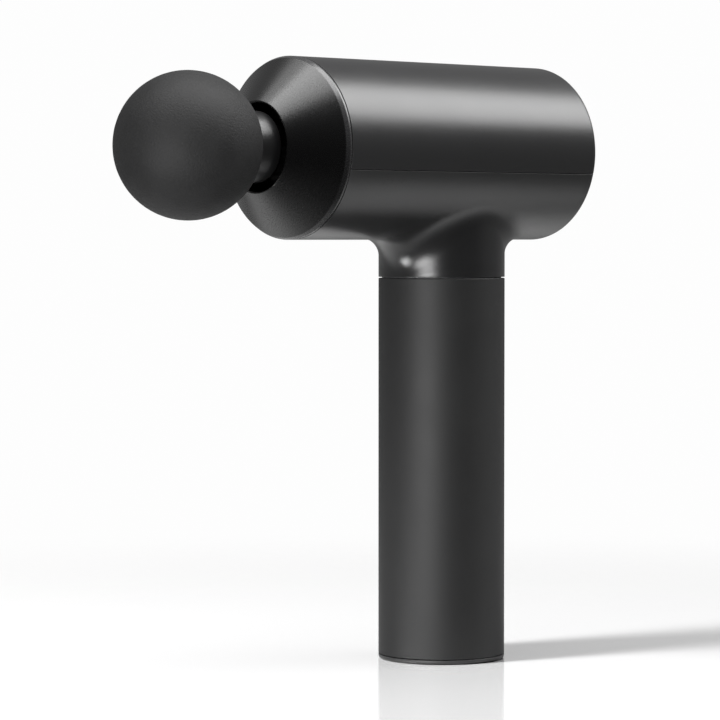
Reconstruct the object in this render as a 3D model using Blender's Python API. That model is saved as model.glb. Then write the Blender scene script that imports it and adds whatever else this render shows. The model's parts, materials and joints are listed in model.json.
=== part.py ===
"""Massage gun: a round grip with its cells, a barrel with a yoke drive, and a ball head.

Metres, +Z up.  The origin is the centre of the flat foot, and the grip's axis is Z.
The barrel's axis is level, along Y, and the massage head faces -Y.
"""
import math

import bmesh
import bpy
from mathutils import Matrix, Vector

# ---- Clearances ----
GAP = 0.0003            # between pieces that touch
GROOVE = 0.0010         # shadow groove between the grip sleeve and the neck
OVERLAP = 0.0010        # how far a cutter or a joined shape runs past a face
EDGE = 0.0004           # small edge rounding or chamfer

# ---- Grip ----
GRIP_RADIUS = 0.0225
GRIP_TOP = 0.1353
SLEEVE_WALL = 0.0009
CORE_WALL = 0.0013
FOOT_EDGE = 0.0012      # rounding of the foot's rim
FOOT_RIM = 0.0016       # height of the base cap's visible rim
PAD_RADIUS = 0.0187
PAD_THICKNESS = 0.0010
BASE_FLOOR = 0.0040     # top of the base cap's floor
SPIGOT_HEIGHT = 0.0045
SPIGOT_WALL = 0.0016
RIM_LIFT = 0.0002       # the base cap's rim above the foot pad's sole
POST_RADIUS = 0.0030    # screw posts of the base cap and the cell holder
POST_SIDE = 0.0110
POST_FRONT = 0.0060
BASE_HEAD_BORE = 0.0027
BASE_SHANK_BORE = 0.0015
BASE_SCREW_SEAT = 0.0025
BASE_SCREW_TIP = 0.0145

# ---- Barrel ----
BARREL_RADIUS = 0.0313
BARREL_HEIGHT = 0.1808  # the barrel's axis above the foot
BARREL_FRONT = -0.0732
BARREL_REAR = 0.0480
SHELL_WALL = 0.0020
SEAM_DROP = 0.0078      # parting line below the barrel's axis
REAR_EDGE = 0.0020
REAR_LIP = 0.0022
REAR_OPENING = 0.0262
REAR_RECESS = 0.0008    # the rear cap's face inside the barrel's edge
NECK_FILLET = 0.0130

# ---- Nose ----
NOSE_LENGTH = 0.0153
NOSE_HOLE = 0.0151
NOSE_RIM = 0.0022       # length of the rounded band behind the cone
NOSE_RIM_DROP = 0.0007
NOSE_WALL = 0.0022
NOSE_SPIGOT = 0.0052
NOSE_LAND = 0.0005      # flat ring round the opening

# ---- Drive ----
STROKE = 0.0100
PLUNGER_RADIUS = 0.0100
PLUNGER_FRONT = -0.0877
SOCKET_RADIUS = 0.0077
SOCKET_DEPTH = 0.0302
PLUNGER_HOLLOW = 0.0055
YOKE_HALF_WIDTH = 0.0160
YOKE_HALF_LENGTH = 0.0095
YOKE_HALF_HEIGHT = 0.0055
CRANK_BEARING_RADIUS = 0.0050
CRANK_BEARING_HEIGHT = 0.0090
YOKE_SLACK = 0.0014     # play along the stroke on each side of the crank bearing
CRANK_THICKNESS = 0.0040
PIN_RADIUS = 0.0025
BUSH_WALL = 0.0020
BUSH_LENGTH = 0.0080
GUIDE_WALL = 0.0016
GUIDE_FRONT = -0.0700
BULKHEAD_THICKNESS = 0.0030
FRONT_FRAME = -0.0600
FRAME_THICKNESS = 0.0025
CHEEK_THICKNESS = 0.0025
CHEEK_STEP = 0.0100     # the cheeks' narrow feet above the motor plate
CHEEK_FOOT = 0.0160
CHEEK_REAR = 0.0200
WINDOWS = 6             # openings in the front frame
WINDOW_RADIUS = 0.0048
COUNTERWEIGHT_INNER = 0.0085
COUNTERWEIGHT_HEIGHT = 0.0050
CLIP_WIDTH = 0.0014
CLIP_TOP = 0.0011
YOKE_NECK = 0.0050
YOKE_NECK_LENGTH = 0.0040
SEAL_DEPTH = 0.0032

# ---- Motor ----
MOTOR_RADIUS = 0.0180
MOTOR_FLOOR = 0.1220
MOTOR_HEIGHT = 0.0280
MOTOR_WALL = 0.0012
MAGNET_THICKNESS = 0.0026
ARMATURE_GAP = 0.0005
ARMATURE_TEETH = 7
SHAFT_RADIUS = 0.0025
END_BELL = 0.0020
PLATE_THICKNESS = 0.0022
SKIRT_BOTTOM = 0.1260
NECK_SCREW_RISE = 0.0040        # above the skirt's bottom
NECK_SCREW_SINK = 0.0008
NECK_SHANK_BORE = 0.0013
NECK_HEAD_BORE = 0.0020
PLATE_BORE = 0.0014
MOTOR_SCREW_SHANK = 0.0011
MOTOR_SCREW_HEAD = 0.0019
SCREW_HEAD_HEIGHT = 0.0010
LOWER_BEARING_RADIUS = 0.0041
UPPER_BEARING_RADIUS = 0.0060
MOTOR_BEARING_HEIGHT = 0.0030
WINDING_HEIGHT = 0.0030
TOOTH_GAP = 0.0018
COIL_INNER = 0.0052
COIL_INSET = 0.0020
PLATE_HUB = 0.0080

# ---- Massage head ----
COLLAR_RADIUS = 0.0122
COLLAR_LENGTH = 0.0097
BALL_RADIUS = 0.0250
HEAD_REACH = 0.0309     # from the collar's rear face to the ball's centre
STEM_RADIUS = 0.0073
STEM_LENGTH = 0.0300
RING_SECTION = 0.0009
NECK_CORE = 0.0090      # stem inside the ball
CORE_FLANGE = 0.0140
FLANGE_THICKNESS = 0.0060
CORE_LENGTH = 0.0100    # from the collar's front to the flange
STEM_LEAD_IN = 0.0010
RING_PLACE = 0.0060     # the rear O-ring from the stem's end
RING_SPACING = 0.0070

# ---- Cells and boards ----
CELL_RADIUS = 0.0091
CELL_LENGTH = 0.0650
CELL_SPACING = 0.0184
CELL_BOTTOM = 0.0200
HOLDER_THICKNESS = 0.0030
PEG_RADIUS = 0.0030
PEG_HEIGHT = 0.0060
BOARD = 0.0016
CHARGE_BOARD_HEIGHT = 0.0095
PORT_WIDTH = 0.0094
PORT_HEIGHT = 0.0036
PLUG_HALF_WIDTH = 0.0045        # outside of the charging socket
SOCKET_HALF_HEIGHT = 0.0016
SOCKET_LENGTH = 0.0072
SOCKET_WALL = 0.0003
SOCKET_FLOOR = 0.0010
TONGUE_HALF_WIDTH = 0.0030
TONGUE_HALF_HEIGHT = 0.0003
CRIMP_WIDTH = 0.0006            # shoulder at a cell's top
CRIMP_DEPTH = 0.0008
TERMINAL_RADIUS = 0.0032
CLIP_SIDE = 0.0115              # the driver board's clips
CLIP_HALF_WIDTH = 0.0020
CLIP_HALF_DEPTH = 0.0035
CLIP_HEIGHT = 0.0060
CLIP_FLOOR = 0.0005
DRIVER_HALF_WIDTH = 0.0155
DRIVER_HEIGHT = 0.0270
LEAD_RADIUS = 0.0007
CONTROL_BOARD_RADIUS = 0.0240
BUTTON_RADIUS = 0.0069
BUTTON_TRAVEL = 0.0006
LIGHT_RING_WIDTH = 0.0018
BUTTON_PROUD = 0.0010
BUTTON_STEM = 0.0020
SWITCH_SIZE = 0.0060
SWITCH_HEIGHT = 0.0030
BOARD_SCREW_INSET = 0.0030
BOARD_POST_RADIUS = 0.0022
BOARD_BORE = 0.0013
BOARD_BORE_DEPTH = 0.0055
BOARD_SCREW_HEAD = 0.0018
VENTS = 16
VENT_WIDTH = 0.0018
VENT_INNER = 0.0135
VENT_OUTER = 0.0220
CAP_EDGE = 0.0005

# ---- Values that follow ----
CORE_OUTER = GRIP_RADIUS - SLEEVE_WALL - GAP
CORE_INNER = CORE_OUTER - CORE_WALL
BULKHEAD_FRONT = -(CORE_OUTER + BULKHEAD_THICKNESS + 0.0017)    # its back clears the core tube
SHELL_INNER = BARREL_RADIUS - SHELL_WALL
NOSE_BACK = BARREL_FRONT - GAP
NOSE_TIP = NOSE_BACK - NOSE_LENGTH
SEAM_HEIGHT = BARREL_HEIGHT - SEAM_DROP
END_BELL_BOTTOM = MOTOR_FLOOR + MOTOR_HEIGHT + GAP
PLATE_BOTTOM = END_BELL_BOTTOM + END_BELL + GAP
PLATE_TOP = PLATE_BOTTOM + PLATE_THICKNESS
CRANK_RADIUS = MOTOR_RADIUS - 0.0050    # inside the motor screws' heads
CRANK_BOTTOM = PLATE_TOP + 0.0012
CRANK_TOP = CRANK_BOTTOM + CRANK_THICKNESS
BUSH_INNER = PLUNGER_RADIUS + GAP
BUSH_OUTER = BUSH_INNER + BUSH_WALL
GUIDE_INNER = BUSH_OUTER + GAP
GUIDE_OUTER = GUIDE_INNER + GUIDE_WALL
CHEEK_INNER = YOKE_HALF_WIDTH + 0.0004
COLLAR_REAR = PLUNGER_FRONT - GAP
BALL_CENTRE = COLLAR_REAR - HEAD_REACH
COLLAR_FRONT = COLLAR_REAR - COLLAR_LENGTH
REAR_FACE = BARREL_REAR - REAR_RECESS
REAR_FLANGE_BACK = BARREL_REAR - REAR_LIP - GAP
REAR_FLANGE = 0.0022
REAR_FLANGE_FRONT = REAR_FLANGE_BACK - REAR_FLANGE
POST_LENGTH = 0.0064
CONTROL_BOARD_FRONT = REAR_FLANGE_FRONT - POST_LENGTH - BOARD - GAP
CELL_CIRCLE = CELL_SPACING / math.sqrt(3)
CELL_TOP = CELL_BOTTOM + CELL_LENGTH
HOLDER_RADIUS = CORE_INNER - 0.0004
SLEEVE_BOTTOM = FOOT_RIM + GAP

ROUND = 36              # steps round a large visible piece
MEDIUM = 20
SMALL = 10

# Each finish is colour (linear), roughness, metallic
FINISHES = {
    "satin_shell": ((0.045, 0.045, 0.048), 0.42, 0.0),
    "soft_grip": ((0.032, 0.032, 0.034), 0.75, 0.0),
    "black_plastic": ((0.012, 0.012, 0.013), 0.45, 0.0),
    "foam": ((0.014, 0.014, 0.015), 0.9, 0.0),
    "rubber": ((0.012, 0.012, 0.012), 0.8, 0.0),
    "frame_plastic": ((0.06, 0.06, 0.065), 0.6, 0.0),
    "steel": ((0.55, 0.55, 0.56), 0.3, 1.0),
    "aluminium": ((0.62, 0.62, 0.64), 0.35, 1.0),
    "magnet": ((0.09, 0.09, 0.1), 0.4, 0.8),
    "copper": ((0.7, 0.3, 0.15), 0.35, 1.0),
    "board": ((0.01, 0.09, 0.04), 0.5, 0.0),
    "cell_wrap": ((0.03, 0.16, 0.3), 0.35, 0.0),
    "bronze": ((0.6, 0.42, 0.2), 0.4, 1.0),
    "light": ((0.75, 0.85, 0.9), 0.3, 0.0),
    "lead": ((0.35, 0.02, 0.02), 0.5, 0.0),
}


# ---------------------------------------------------------------- scene helpers
def clear_scene():
    """Remove every object already in the scene."""
    for item in list(bpy.data.objects):
        bpy.data.objects.remove(item, do_unlink=True)


def make_axis(name, location, rotation=(0, 0, 0)):
    """An empty that carries the pieces of one axis."""
    axis = bpy.data.objects.new(name, None)
    axis.location = location
    axis.rotation_euler = rotation
    bpy.context.collection.objects.link(axis)
    return axis


def paint(item, finish):
    """Give a piece its own Principled material."""
    colour, roughness, metallic = FINISHES[finish]
    material = bpy.data.materials.new(item.name + "_" + finish)
    material.use_nodes = True
    shader = material.node_tree.nodes["Principled BSDF"]
    shader.inputs["Base Color"].default_value = (*colour, 1.0)
    shader.inputs["Roughness"].default_value = roughness
    shader.inputs["Metallic"].default_value = metallic
    item.data.materials.append(material)


def make_piece(name, shape, parent=None, finish=None, location=(0, 0, 0), rotation=(0, 0, 0)):
    """An object from a bmesh, shaded smooth between sharp edges."""
    mesh = bpy.data.meshes.new(name)
    bmesh.ops.recalc_face_normals(shape, faces=shape.faces)
    shape.to_mesh(mesh)
    shape.free()
    mesh.shade_smooth()
    mesh.set_sharp_from_angle(angle=math.radians(35))
    item = bpy.data.objects.new(name, mesh)
    item.location = location
    item.rotation_euler = rotation
    item.parent = parent
    bpy.context.collection.objects.link(item)
    if finish:
        paint(item, finish)
    return item


def as_tool(item):
    """Hide a cutter or a joined shape, which the Boolean still reads."""
    item.hide_render = True
    item.display_type = "WIRE"
    return item


def boolean(item, others, operation):
    """Add one exact Boolean for several objects, on triangles where it isn't the first."""
    if item.modifiers:
        item.modifiers.new("triangles_%d" % len(item.modifiers), "TRIANGULATE")
    group = bpy.data.collections.new("%s_%s_%d" % (item.name, operation.lower(), len(item.modifiers)))
    for other in others:
        group.objects.link(as_tool(other))
    modifier = item.modifiers.new(group.name, "BOOLEAN")
    modifier.operation = operation
    modifier.solver = "EXACT"
    modifier.operand_type = "COLLECTION"
    modifier.collection = group


def cut(item, *cutters):
    """Cut shapes away."""
    boolean(item, cutters, "DIFFERENCE")


def join(item, *others):
    """Join shapes on."""
    boolean(item, others, "UNION")


# ---------------------------------------------------------------- shapes
def arc(centre, radius, start, end, steps):
    """Points (radius, height) on an arc in a turned profile, angles in degrees."""
    points = []
    for step in range(steps + 1):
        angle = math.radians(start + (end - start) * step / steps)
        points.append((centre[0] + radius * math.cos(angle), centre[1] + radius * math.sin(angle)))
    return points


def turned(profile, steps):
    """Turn a profile of (radius, height) points about Z.

    A profile that starts and ends on the axis is closed by its poles, any other by a last band.
    """
    shape = bmesh.new()
    rings = []
    for radius, height in profile:
        if radius < 1e-7:
            rings.append([shape.verts.new((0, 0, height))])
            continue
        ring = []
        for step in range(steps):
            angle = 2 * math.pi * step / steps
            ring.append(shape.verts.new((radius * math.cos(angle), radius * math.sin(angle), height)))
        rings.append(ring)
    bands = list(zip(rings, rings[1:]))
    if len(rings[0]) > 1:
        bands.append((rings[-1], rings[0]))
    for lower, upper in bands:
        for step in range(steps):
            after = (step + 1) % steps
            corners = [lower[step % len(lower)], lower[after % len(lower)]]
            corners += [upper[after % len(upper)], upper[step % len(upper)]]
            unique = list(dict.fromkeys(corners))
            if len(unique) > 2:
                shape.faces.new(unique)
    return shape


def ring_profile(inner, outer, low, high):
    """A plain ring's profile."""
    return [(inner, low), (outer, low), (outer, high), (inner, high)]


def rod_profile(radius, low, high):
    """A plain rod's profile."""
    return [(0, low), (radius, low), (radius, high), (0, high)]


def block(low, high):
    """A box between two corners."""
    shape = bmesh.new()
    size = [top - bottom for bottom, top in zip(low, high)]
    middle = [(top + bottom) / 2 for bottom, top in zip(low, high)]
    place = Matrix.Translation(middle) @ Matrix.Diagonal((*size, 1))
    bmesh.ops.create_cube(shape, size=1, matrix=place)
    return shape


def prism(outline, depth_low, depth_high, along="X"):
    """An outline of two-number points, drawn out along an axis."""
    shape = bmesh.new()
    corners = []
    for first, second in outline:
        point = (depth_low, first, second) if along == "X" else (first, depth_low, second)
        corners.append(shape.verts.new(point))
    face = shape.faces.new(corners)
    moved = bmesh.ops.extrude_face_region(shape, geom=[face])
    way = depth_high - depth_low
    offset = (way, 0, 0) if along == "X" else (0, way, 0)
    far_end = [v for v in moved["geom"] if isinstance(v, bmesh.types.BMVert)]
    bmesh.ops.translate(shape, vec=offset, verts=far_end)
    return shape


def stadium(half_length, half_width, steps=5):
    """A slot's outline with round ends, along the first direction."""
    straight = half_length - half_width
    points = arc((straight, 0), half_width, -90, 90, steps)
    return points + arc((-straight, 0), half_width, 90, 270, steps)


def merged(shapes):
    """Several shapes in one bmesh, for a cutter that repeats."""
    whole = bmesh.new()
    for shape in shapes:
        mesh = bpy.data.meshes.new("merged")
        shape.to_mesh(mesh)
        shape.free()
        whole.from_mesh(mesh)
        bpy.data.meshes.remove(mesh)
    return whole


def moved(shape, matrix):
    """The same bmesh, moved by a matrix."""
    bmesh.ops.transform(shape, matrix=matrix, verts=shape.verts)
    return shape


def around(count, radius, start=0.0):
    """Points evenly round a circle, with their angles."""
    places = []
    for index in range(count):
        angle = math.radians(start) + 2 * math.pi * index / count
        places.append((radius * math.cos(angle), radius * math.sin(angle), angle))
    return places


def make_tube(name, points, radius, finish):
    """A lead: a tube along points, with filled ends."""
    curve = bpy.data.curves.new(name, "CURVE")
    curve.dimensions = "3D"
    curve.bevel_depth = radius
    curve.bevel_resolution = 1
    curve.use_fill_caps = True
    spline = curve.splines.new("POLY")
    spline.points.add(len(points) - 1)
    for target, point in zip(spline.points, points):
        target.co = (*point, 1)
    item = bpy.data.objects.new(name, curve)
    bpy.context.collection.objects.link(item)
    paint(item, finish)
    return item


def smooth_route(points, steps):
    """Points along a smooth curve through the given ones."""
    route = []
    last = len(points) - 1
    for index in range(last):
        before = Vector(points[max(index - 1, 0)])
        start = Vector(points[index])
        end = Vector(points[index + 1])
        after = Vector(points[min(index + 2, last)])
        for step in range(steps):
            t = step / steps
            bend = (2 * before - 5 * start + 4 * end - after) * t * t
            turn = (3 * start - before - 3 * end + after) * t * t * t
            route.append((2 * start + (end - before) * t + bend + turn) / 2)
    route.append(Vector(points[last]))
    return route


# ---------------------------------------------------------------- grip
def make_foot(grip):
    """Foot pad, base cap and the screws that hold the cap to the cell holder."""
    make_piece("foot_pad", turned(rod_profile(PAD_RADIUS, 0, PAD_THICKNESS), MEDIUM), grip, "rubber")
    recess = PAD_THICKNESS + GAP
    spigot = CORE_INNER - GAP
    profile = [(0, recess), (PAD_RADIUS + GAP, recess), (PAD_RADIUS + GAP, RIM_LIFT)]
    profile += arc((GRIP_RADIUS - FOOT_EDGE, RIM_LIFT + FOOT_EDGE), FOOT_EDGE, -90, 0, 3)
    profile += [(GRIP_RADIUS, FOOT_RIM), (spigot, FOOT_RIM), (spigot, BASE_FLOOR + SPIGOT_HEIGHT)]
    profile += [(spigot - SPIGOT_WALL, BASE_FLOOR + SPIGOT_HEIGHT), (spigot - SPIGOT_WALL, BASE_FLOOR)]
    profile += [(0, BASE_FLOOR)]
    base = make_piece("base_cap", turned(profile, ROUND), grip, "soft_grip")
    posts, holes = [], []
    for index, (x, y) in enumerate(screw_posts(), 1):
        post = turned(rod_profile(POST_RADIUS, BASE_FLOOR - OVERLAP, CHARGE_BOARD_HEIGHT - GAP), SMALL)
        posts.append(make_piece("base_post_%d" % index, post, grip, location=(x, y, 0)))
        hole = [(0, -OVERLAP), (BASE_HEAD_BORE, -OVERLAP), (BASE_HEAD_BORE, BASE_SCREW_SEAT)]
        hole += [(BASE_SHANK_BORE, BASE_SCREW_SEAT), (BASE_SHANK_BORE, CELL_BOTTOM), (0, CELL_BOTTOM)]
        holes.append(make_piece("base_hole_%d" % index, turned(hole, SMALL), grip, location=(x, y, 0)))
        head, shank, seat = BASE_HEAD_BORE - EDGE, BASE_SHANK_BORE - EDGE, BASE_SCREW_SEAT - GAP
        screw = [(0, recess + 0.0001), (head, recess + 0.0001), (head, seat), (shank, seat)]
        screw += [(shank, BASE_SCREW_TIP), (0, BASE_SCREW_TIP)]
        make_piece("base_screw_%d" % index, turned(screw, SMALL), grip, "steel", (x, y, 0))
    join(base, *posts)
    cut(base, *holes)


def screw_posts():
    """Where the two base screws stand."""
    return [(POST_SIDE, -POST_FRONT), (-POST_SIDE, -POST_FRONT)]


def port_cutter(name, width, height):
    """A slot for the charging plug through the grip's back wall."""
    centre = port_centre()
    outline = stadium(width / 2, height / 2)
    inner, outer = CORE_INNER - 4 * OVERLAP, GRIP_RADIUS + 2 * OVERLAP
    return make_piece(name, prism([(x, z + centre) for x, z in outline], inner, outer, "Y"))


def port_centre():
    """Height of the charging port's middle."""
    return CHARGE_BOARD_HEIGHT + BOARD + GAP + SOCKET_HALF_HEIGHT


def make_grip(grip):
    """Soft sleeve over the core tube, both open for the charging port."""
    sleeve = [(CORE_OUTER + GAP, SLEEVE_BOTTOM), (GRIP_RADIUS, SLEEVE_BOTTOM)]
    sleeve += arc((GRIP_RADIUS - EDGE, GRIP_TOP - EDGE), EDGE, 0, 90, 3)
    sleeve += [(CORE_OUTER + GAP, GRIP_TOP)]
    cover = make_piece("grip_sleeve", turned(sleeve, ROUND), grip, "soft_grip")
    cut(cover, port_cutter("sleeve_port", PORT_WIDTH, PORT_HEIGHT))
    core_top = PLATE_BOTTOM - GAP
    tube = ring_profile(CORE_INNER, CORE_OUTER, SLEEVE_BOTTOM, core_top)
    core = make_piece("handle_core", turned(tube, ROUND), grip, "frame_plastic")
    cut(core, port_cutter("core_port", PORT_WIDTH, PORT_HEIGHT))
    bores = []
    for index, cutter in enumerate(neck_holes(), 1):
        bores.append(make_piece("neck_bore_%d" % index, cutter, grip))
    cut(core, *bores)


def neck_turns():
    """Turns that point local Z outwards at the neck's screws."""
    turns = []
    for angle in (30, 150, 270):
        level = Matrix.Translation((0, 0, SKIRT_BOTTOM + NECK_SCREW_RISE))
        heading = Matrix.Rotation(math.radians(angle), 4, "Z")
        turns.append(level @ heading @ Matrix.Rotation(math.pi / 2, 4, "Y"))
    return turns


def neck_holes():
    """Stepped holes for the screws that hold the chassis skirt in the core."""
    seat, end = CORE_OUTER - NECK_SCREW_SINK, CORE_OUTER + 2 * OVERLAP
    profile = [(0, MOTOR_RADIUS), (NECK_SHANK_BORE, MOTOR_RADIUS), (NECK_SHANK_BORE, seat)]
    profile += [(NECK_HEAD_BORE, seat), (NECK_HEAD_BORE, end), (0, end)]
    return [moved(turned(profile, SMALL), turn) for turn in neck_turns()]


def make_neck_screws(grip):
    """Screws through the core into the chassis skirt, hidden by the sleeve."""
    seat = CORE_OUTER - NECK_SCREW_SINK + 0.0001
    inner = MOTOR_RADIUS + GAP + 0.0002
    shank, head = NECK_SHANK_BORE - GAP, NECK_HEAD_BORE - GAP
    profile = [(0, inner), (shank, inner), (shank, seat), (head, seat), (head, CORE_OUTER), (0, CORE_OUTER)]
    for index, turn in enumerate(neck_turns(), 1):
        make_piece("neck_screw_%d" % index, moved(turned(profile, SMALL), turn), grip, "steel")


# ---------------------------------------------------------------- cells and boards
def cell_places():
    """Middle points of the three cells."""
    return around(3, CELL_CIRCLE, 90)


def make_cells(grip):
    """Three round cells between a lower and an upper holder."""
    for index, (x, y, _) in enumerate(cell_places(), 1):
        shoulder = CELL_TOP - CRIMP_DEPTH
        profile = [(0, CELL_BOTTOM), (CELL_RADIUS - EDGE, CELL_BOTTOM), (CELL_RADIUS, CELL_BOTTOM + EDGE)]
        profile += [(CELL_RADIUS, shoulder - CRIMP_WIDTH), (CELL_RADIUS - CRIMP_WIDTH, shoulder)]
        profile += [(TERMINAL_RADIUS, shoulder), (TERMINAL_RADIUS - 0.0002, CELL_TOP), (0, CELL_TOP)]
        make_piece("cell_%d" % index, turned(profile, MEDIUM), grip, "cell_wrap", (x, y, 0))
    lower_top = CELL_BOTTOM - GAP
    lower_bottom = lower_top - HOLDER_THICKNESS
    disc = turned(rod_profile(HOLDER_RADIUS, lower_bottom, lower_top), ROUND)
    lower = make_piece("cell_holder_lower", disc, grip, "frame_plastic")
    low = CHARGE_BOARD_HEIGHT + BOARD + GAP
    posts, bores = [], []
    for index, (x, y) in enumerate(screw_posts(), 1):
        post = turned(rod_profile(POST_RADIUS, low, lower_bottom + OVERLAP), SMALL)
        posts.append(make_piece("holder_post_%d" % index, post, grip, location=(x, y, 0)))
        bore = turned(rod_profile(0.0014, low - OVERLAP, low + 0.0038), SMALL)
        bores.append(make_piece("holder_bore_%d" % index, bore, grip, location=(x, y, 0)))
    join(lower, *posts, *cell_pegs("lower_peg", lower_top - OVERLAP, lower_top + PEG_HEIGHT, grip))
    cut(lower, *bores)
    upper_bottom = CELL_TOP + GAP
    upper_top = upper_bottom + HOLDER_THICKNESS
    disc = turned(rod_profile(HOLDER_RADIUS, upper_bottom, upper_top), ROUND)
    upper = make_piece("cell_holder_upper", disc, grip, "frame_plastic")
    join(upper, *cell_pegs("upper_peg", upper_bottom - PEG_HEIGHT, upper_bottom + OVERLAP, grip))
    for side in (-1, 1):
        low = (side * CLIP_SIDE - CLIP_HALF_WIDTH, -CLIP_HALF_DEPTH, upper_top - OVERLAP)
        high = (side * CLIP_SIDE + CLIP_HALF_WIDTH, CLIP_HALF_DEPTH, upper_top + CLIP_HEIGHT)
        clip = make_piece("board_clip_%d" % side, block(low, high), grip)
        half = BOARD / 2 + GAP
        end = DRIVER_HALF_WIDTH + OVERLAP
        slot = block((-end, -half, upper_top + CLIP_FLOOR), (end, half, upper_top + 2 * CLIP_HEIGHT))
        cut(clip, make_piece("board_slot_%d" % side, slot, grip))
        join(upper, clip)


def cell_pegs(name, low, high, grip):
    """Three pegs that stand between neighbouring cells."""
    pegs = []
    for index, (x, y, _) in enumerate(around(3, HOLDER_RADIUS - PEG_RADIUS - GAP, 30), 1):
        shape = turned(rod_profile(PEG_RADIUS, low, high), SMALL)
        pegs.append(make_piece("%s_%d" % (name, index), shape, grip, location=(x, y, 0)))
    return pegs


def make_charge_board(grip):
    """Charging board with its socket, under the cells."""
    low = CHARGE_BOARD_HEIGHT
    radius = CORE_INNER - 0.0030        # clears the base cap's spigot
    disc = turned(rod_profile(radius, low, low + BOARD), MEDIUM)
    board = make_piece("charge_board", disc, grip, "board")
    bores = []
    for index, (x, y) in enumerate(screw_posts(), 1):
        bore = turned(rod_profile(BASE_SHANK_BORE, low - OVERLAP, low + BOARD + OVERLAP), SMALL)
        bores.append(make_piece("charge_bore_%d" % index, bore, grip, location=(x, y, 0)))
    cut(board, *bores)
    middle = port_centre()
    back = CORE_INNER - EDGE
    outline = stadium(PLUG_HALF_WIDTH, SOCKET_HALF_HEIGHT)
    shell = prism([(x, z + middle) for x, z in outline], back - SOCKET_LENGTH, back, "Y")
    socket = make_piece("charge_socket", shell, grip, "steel")
    hollow = stadium(PLUG_HALF_WIDTH - SOCKET_WALL, SOCKET_HALF_HEIGHT - SOCKET_WALL)
    floor = back - SOCKET_LENGTH + SOCKET_FLOOR
    mouth = prism([(x, z + middle) for x, z in hollow], floor, back + OVERLAP, "Y")
    cut(socket, make_piece("socket_mouth", mouth, grip))
    low_corner = (-TONGUE_HALF_WIDTH, floor - EDGE, middle - TONGUE_HALF_HEIGHT)
    tongue = block(low_corner, (TONGUE_HALF_WIDTH, back - 3 * EDGE, middle + TONGUE_HALF_HEIGHT))
    join(socket, make_piece("socket_tongue", tongue, grip))


def make_driver_board(grip):
    """Upright board above the cells, with its capacitor and power chip."""
    low = CELL_TOP + GAP + HOLDER_THICKNESS + CLIP_FLOOR + GAP
    high = low + DRIVER_HEIGHT
    half = BOARD / 2
    board = block((-DRIVER_HALF_WIDTH, -half, low), (DRIVER_HALF_WIDTH, half, high))
    make_piece("driver_board", board, grip, "board")
    can = turned(rod_profile(0.0040, 0, 0.0090), SMALL)
    turn = (-math.pi / 2, 0, 0)
    make_piece("driver_capacitor", can, grip, "aluminium", (0.0055, half + GAP, low + 0.016), turn)
    chip = block((-0.0050, -half - GAP - 0.0016, low + 0.012), (0.0050, -half - GAP, low + 0.022))
    make_piece("driver_chip", chip, grip, "black_plastic")
    for index, side in enumerate((-1, 1), 1):
        start = (side * 0.0035, 0, high + 2 * GAP)
        end = (side * 0.0080, 0, MOTOR_FLOOR - 0.0010)
        bend = (side * 0.0050, 0, (start[2] + end[2]) / 2)
        make_tube("motor_lead_%d" % index, smooth_route([start, bend, end], 4), LEAD_RADIUS, "lead")
    board_back = CONTROL_BOARD_FRONT - GAP
    middle = (CORE_INNER + MOTOR_RADIUS) / 2
    route = [(0, half + GAP + 0.0010, high - 0.010), (0, 0.0090, high - 0.008), (0, 0.0165, high - 0.004)]
    route += [(0, middle, MOTOR_FLOOR - 0.003), (0, middle, MOTOR_FLOOR + 0.006)]
    route += [(0, middle, PLATE_TOP - 0.004)]
    route += [(0, middle + 0.002, PLATE_TOP + 0.006), (0, board_back - 0.004, BARREL_HEIGHT - 0.013)]
    route += [(0, board_back, BARREL_HEIGHT - 0.012)]
    make_tube("control_lead", smooth_route(route, 3), LEAD_RADIUS, "black_plastic")


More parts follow.
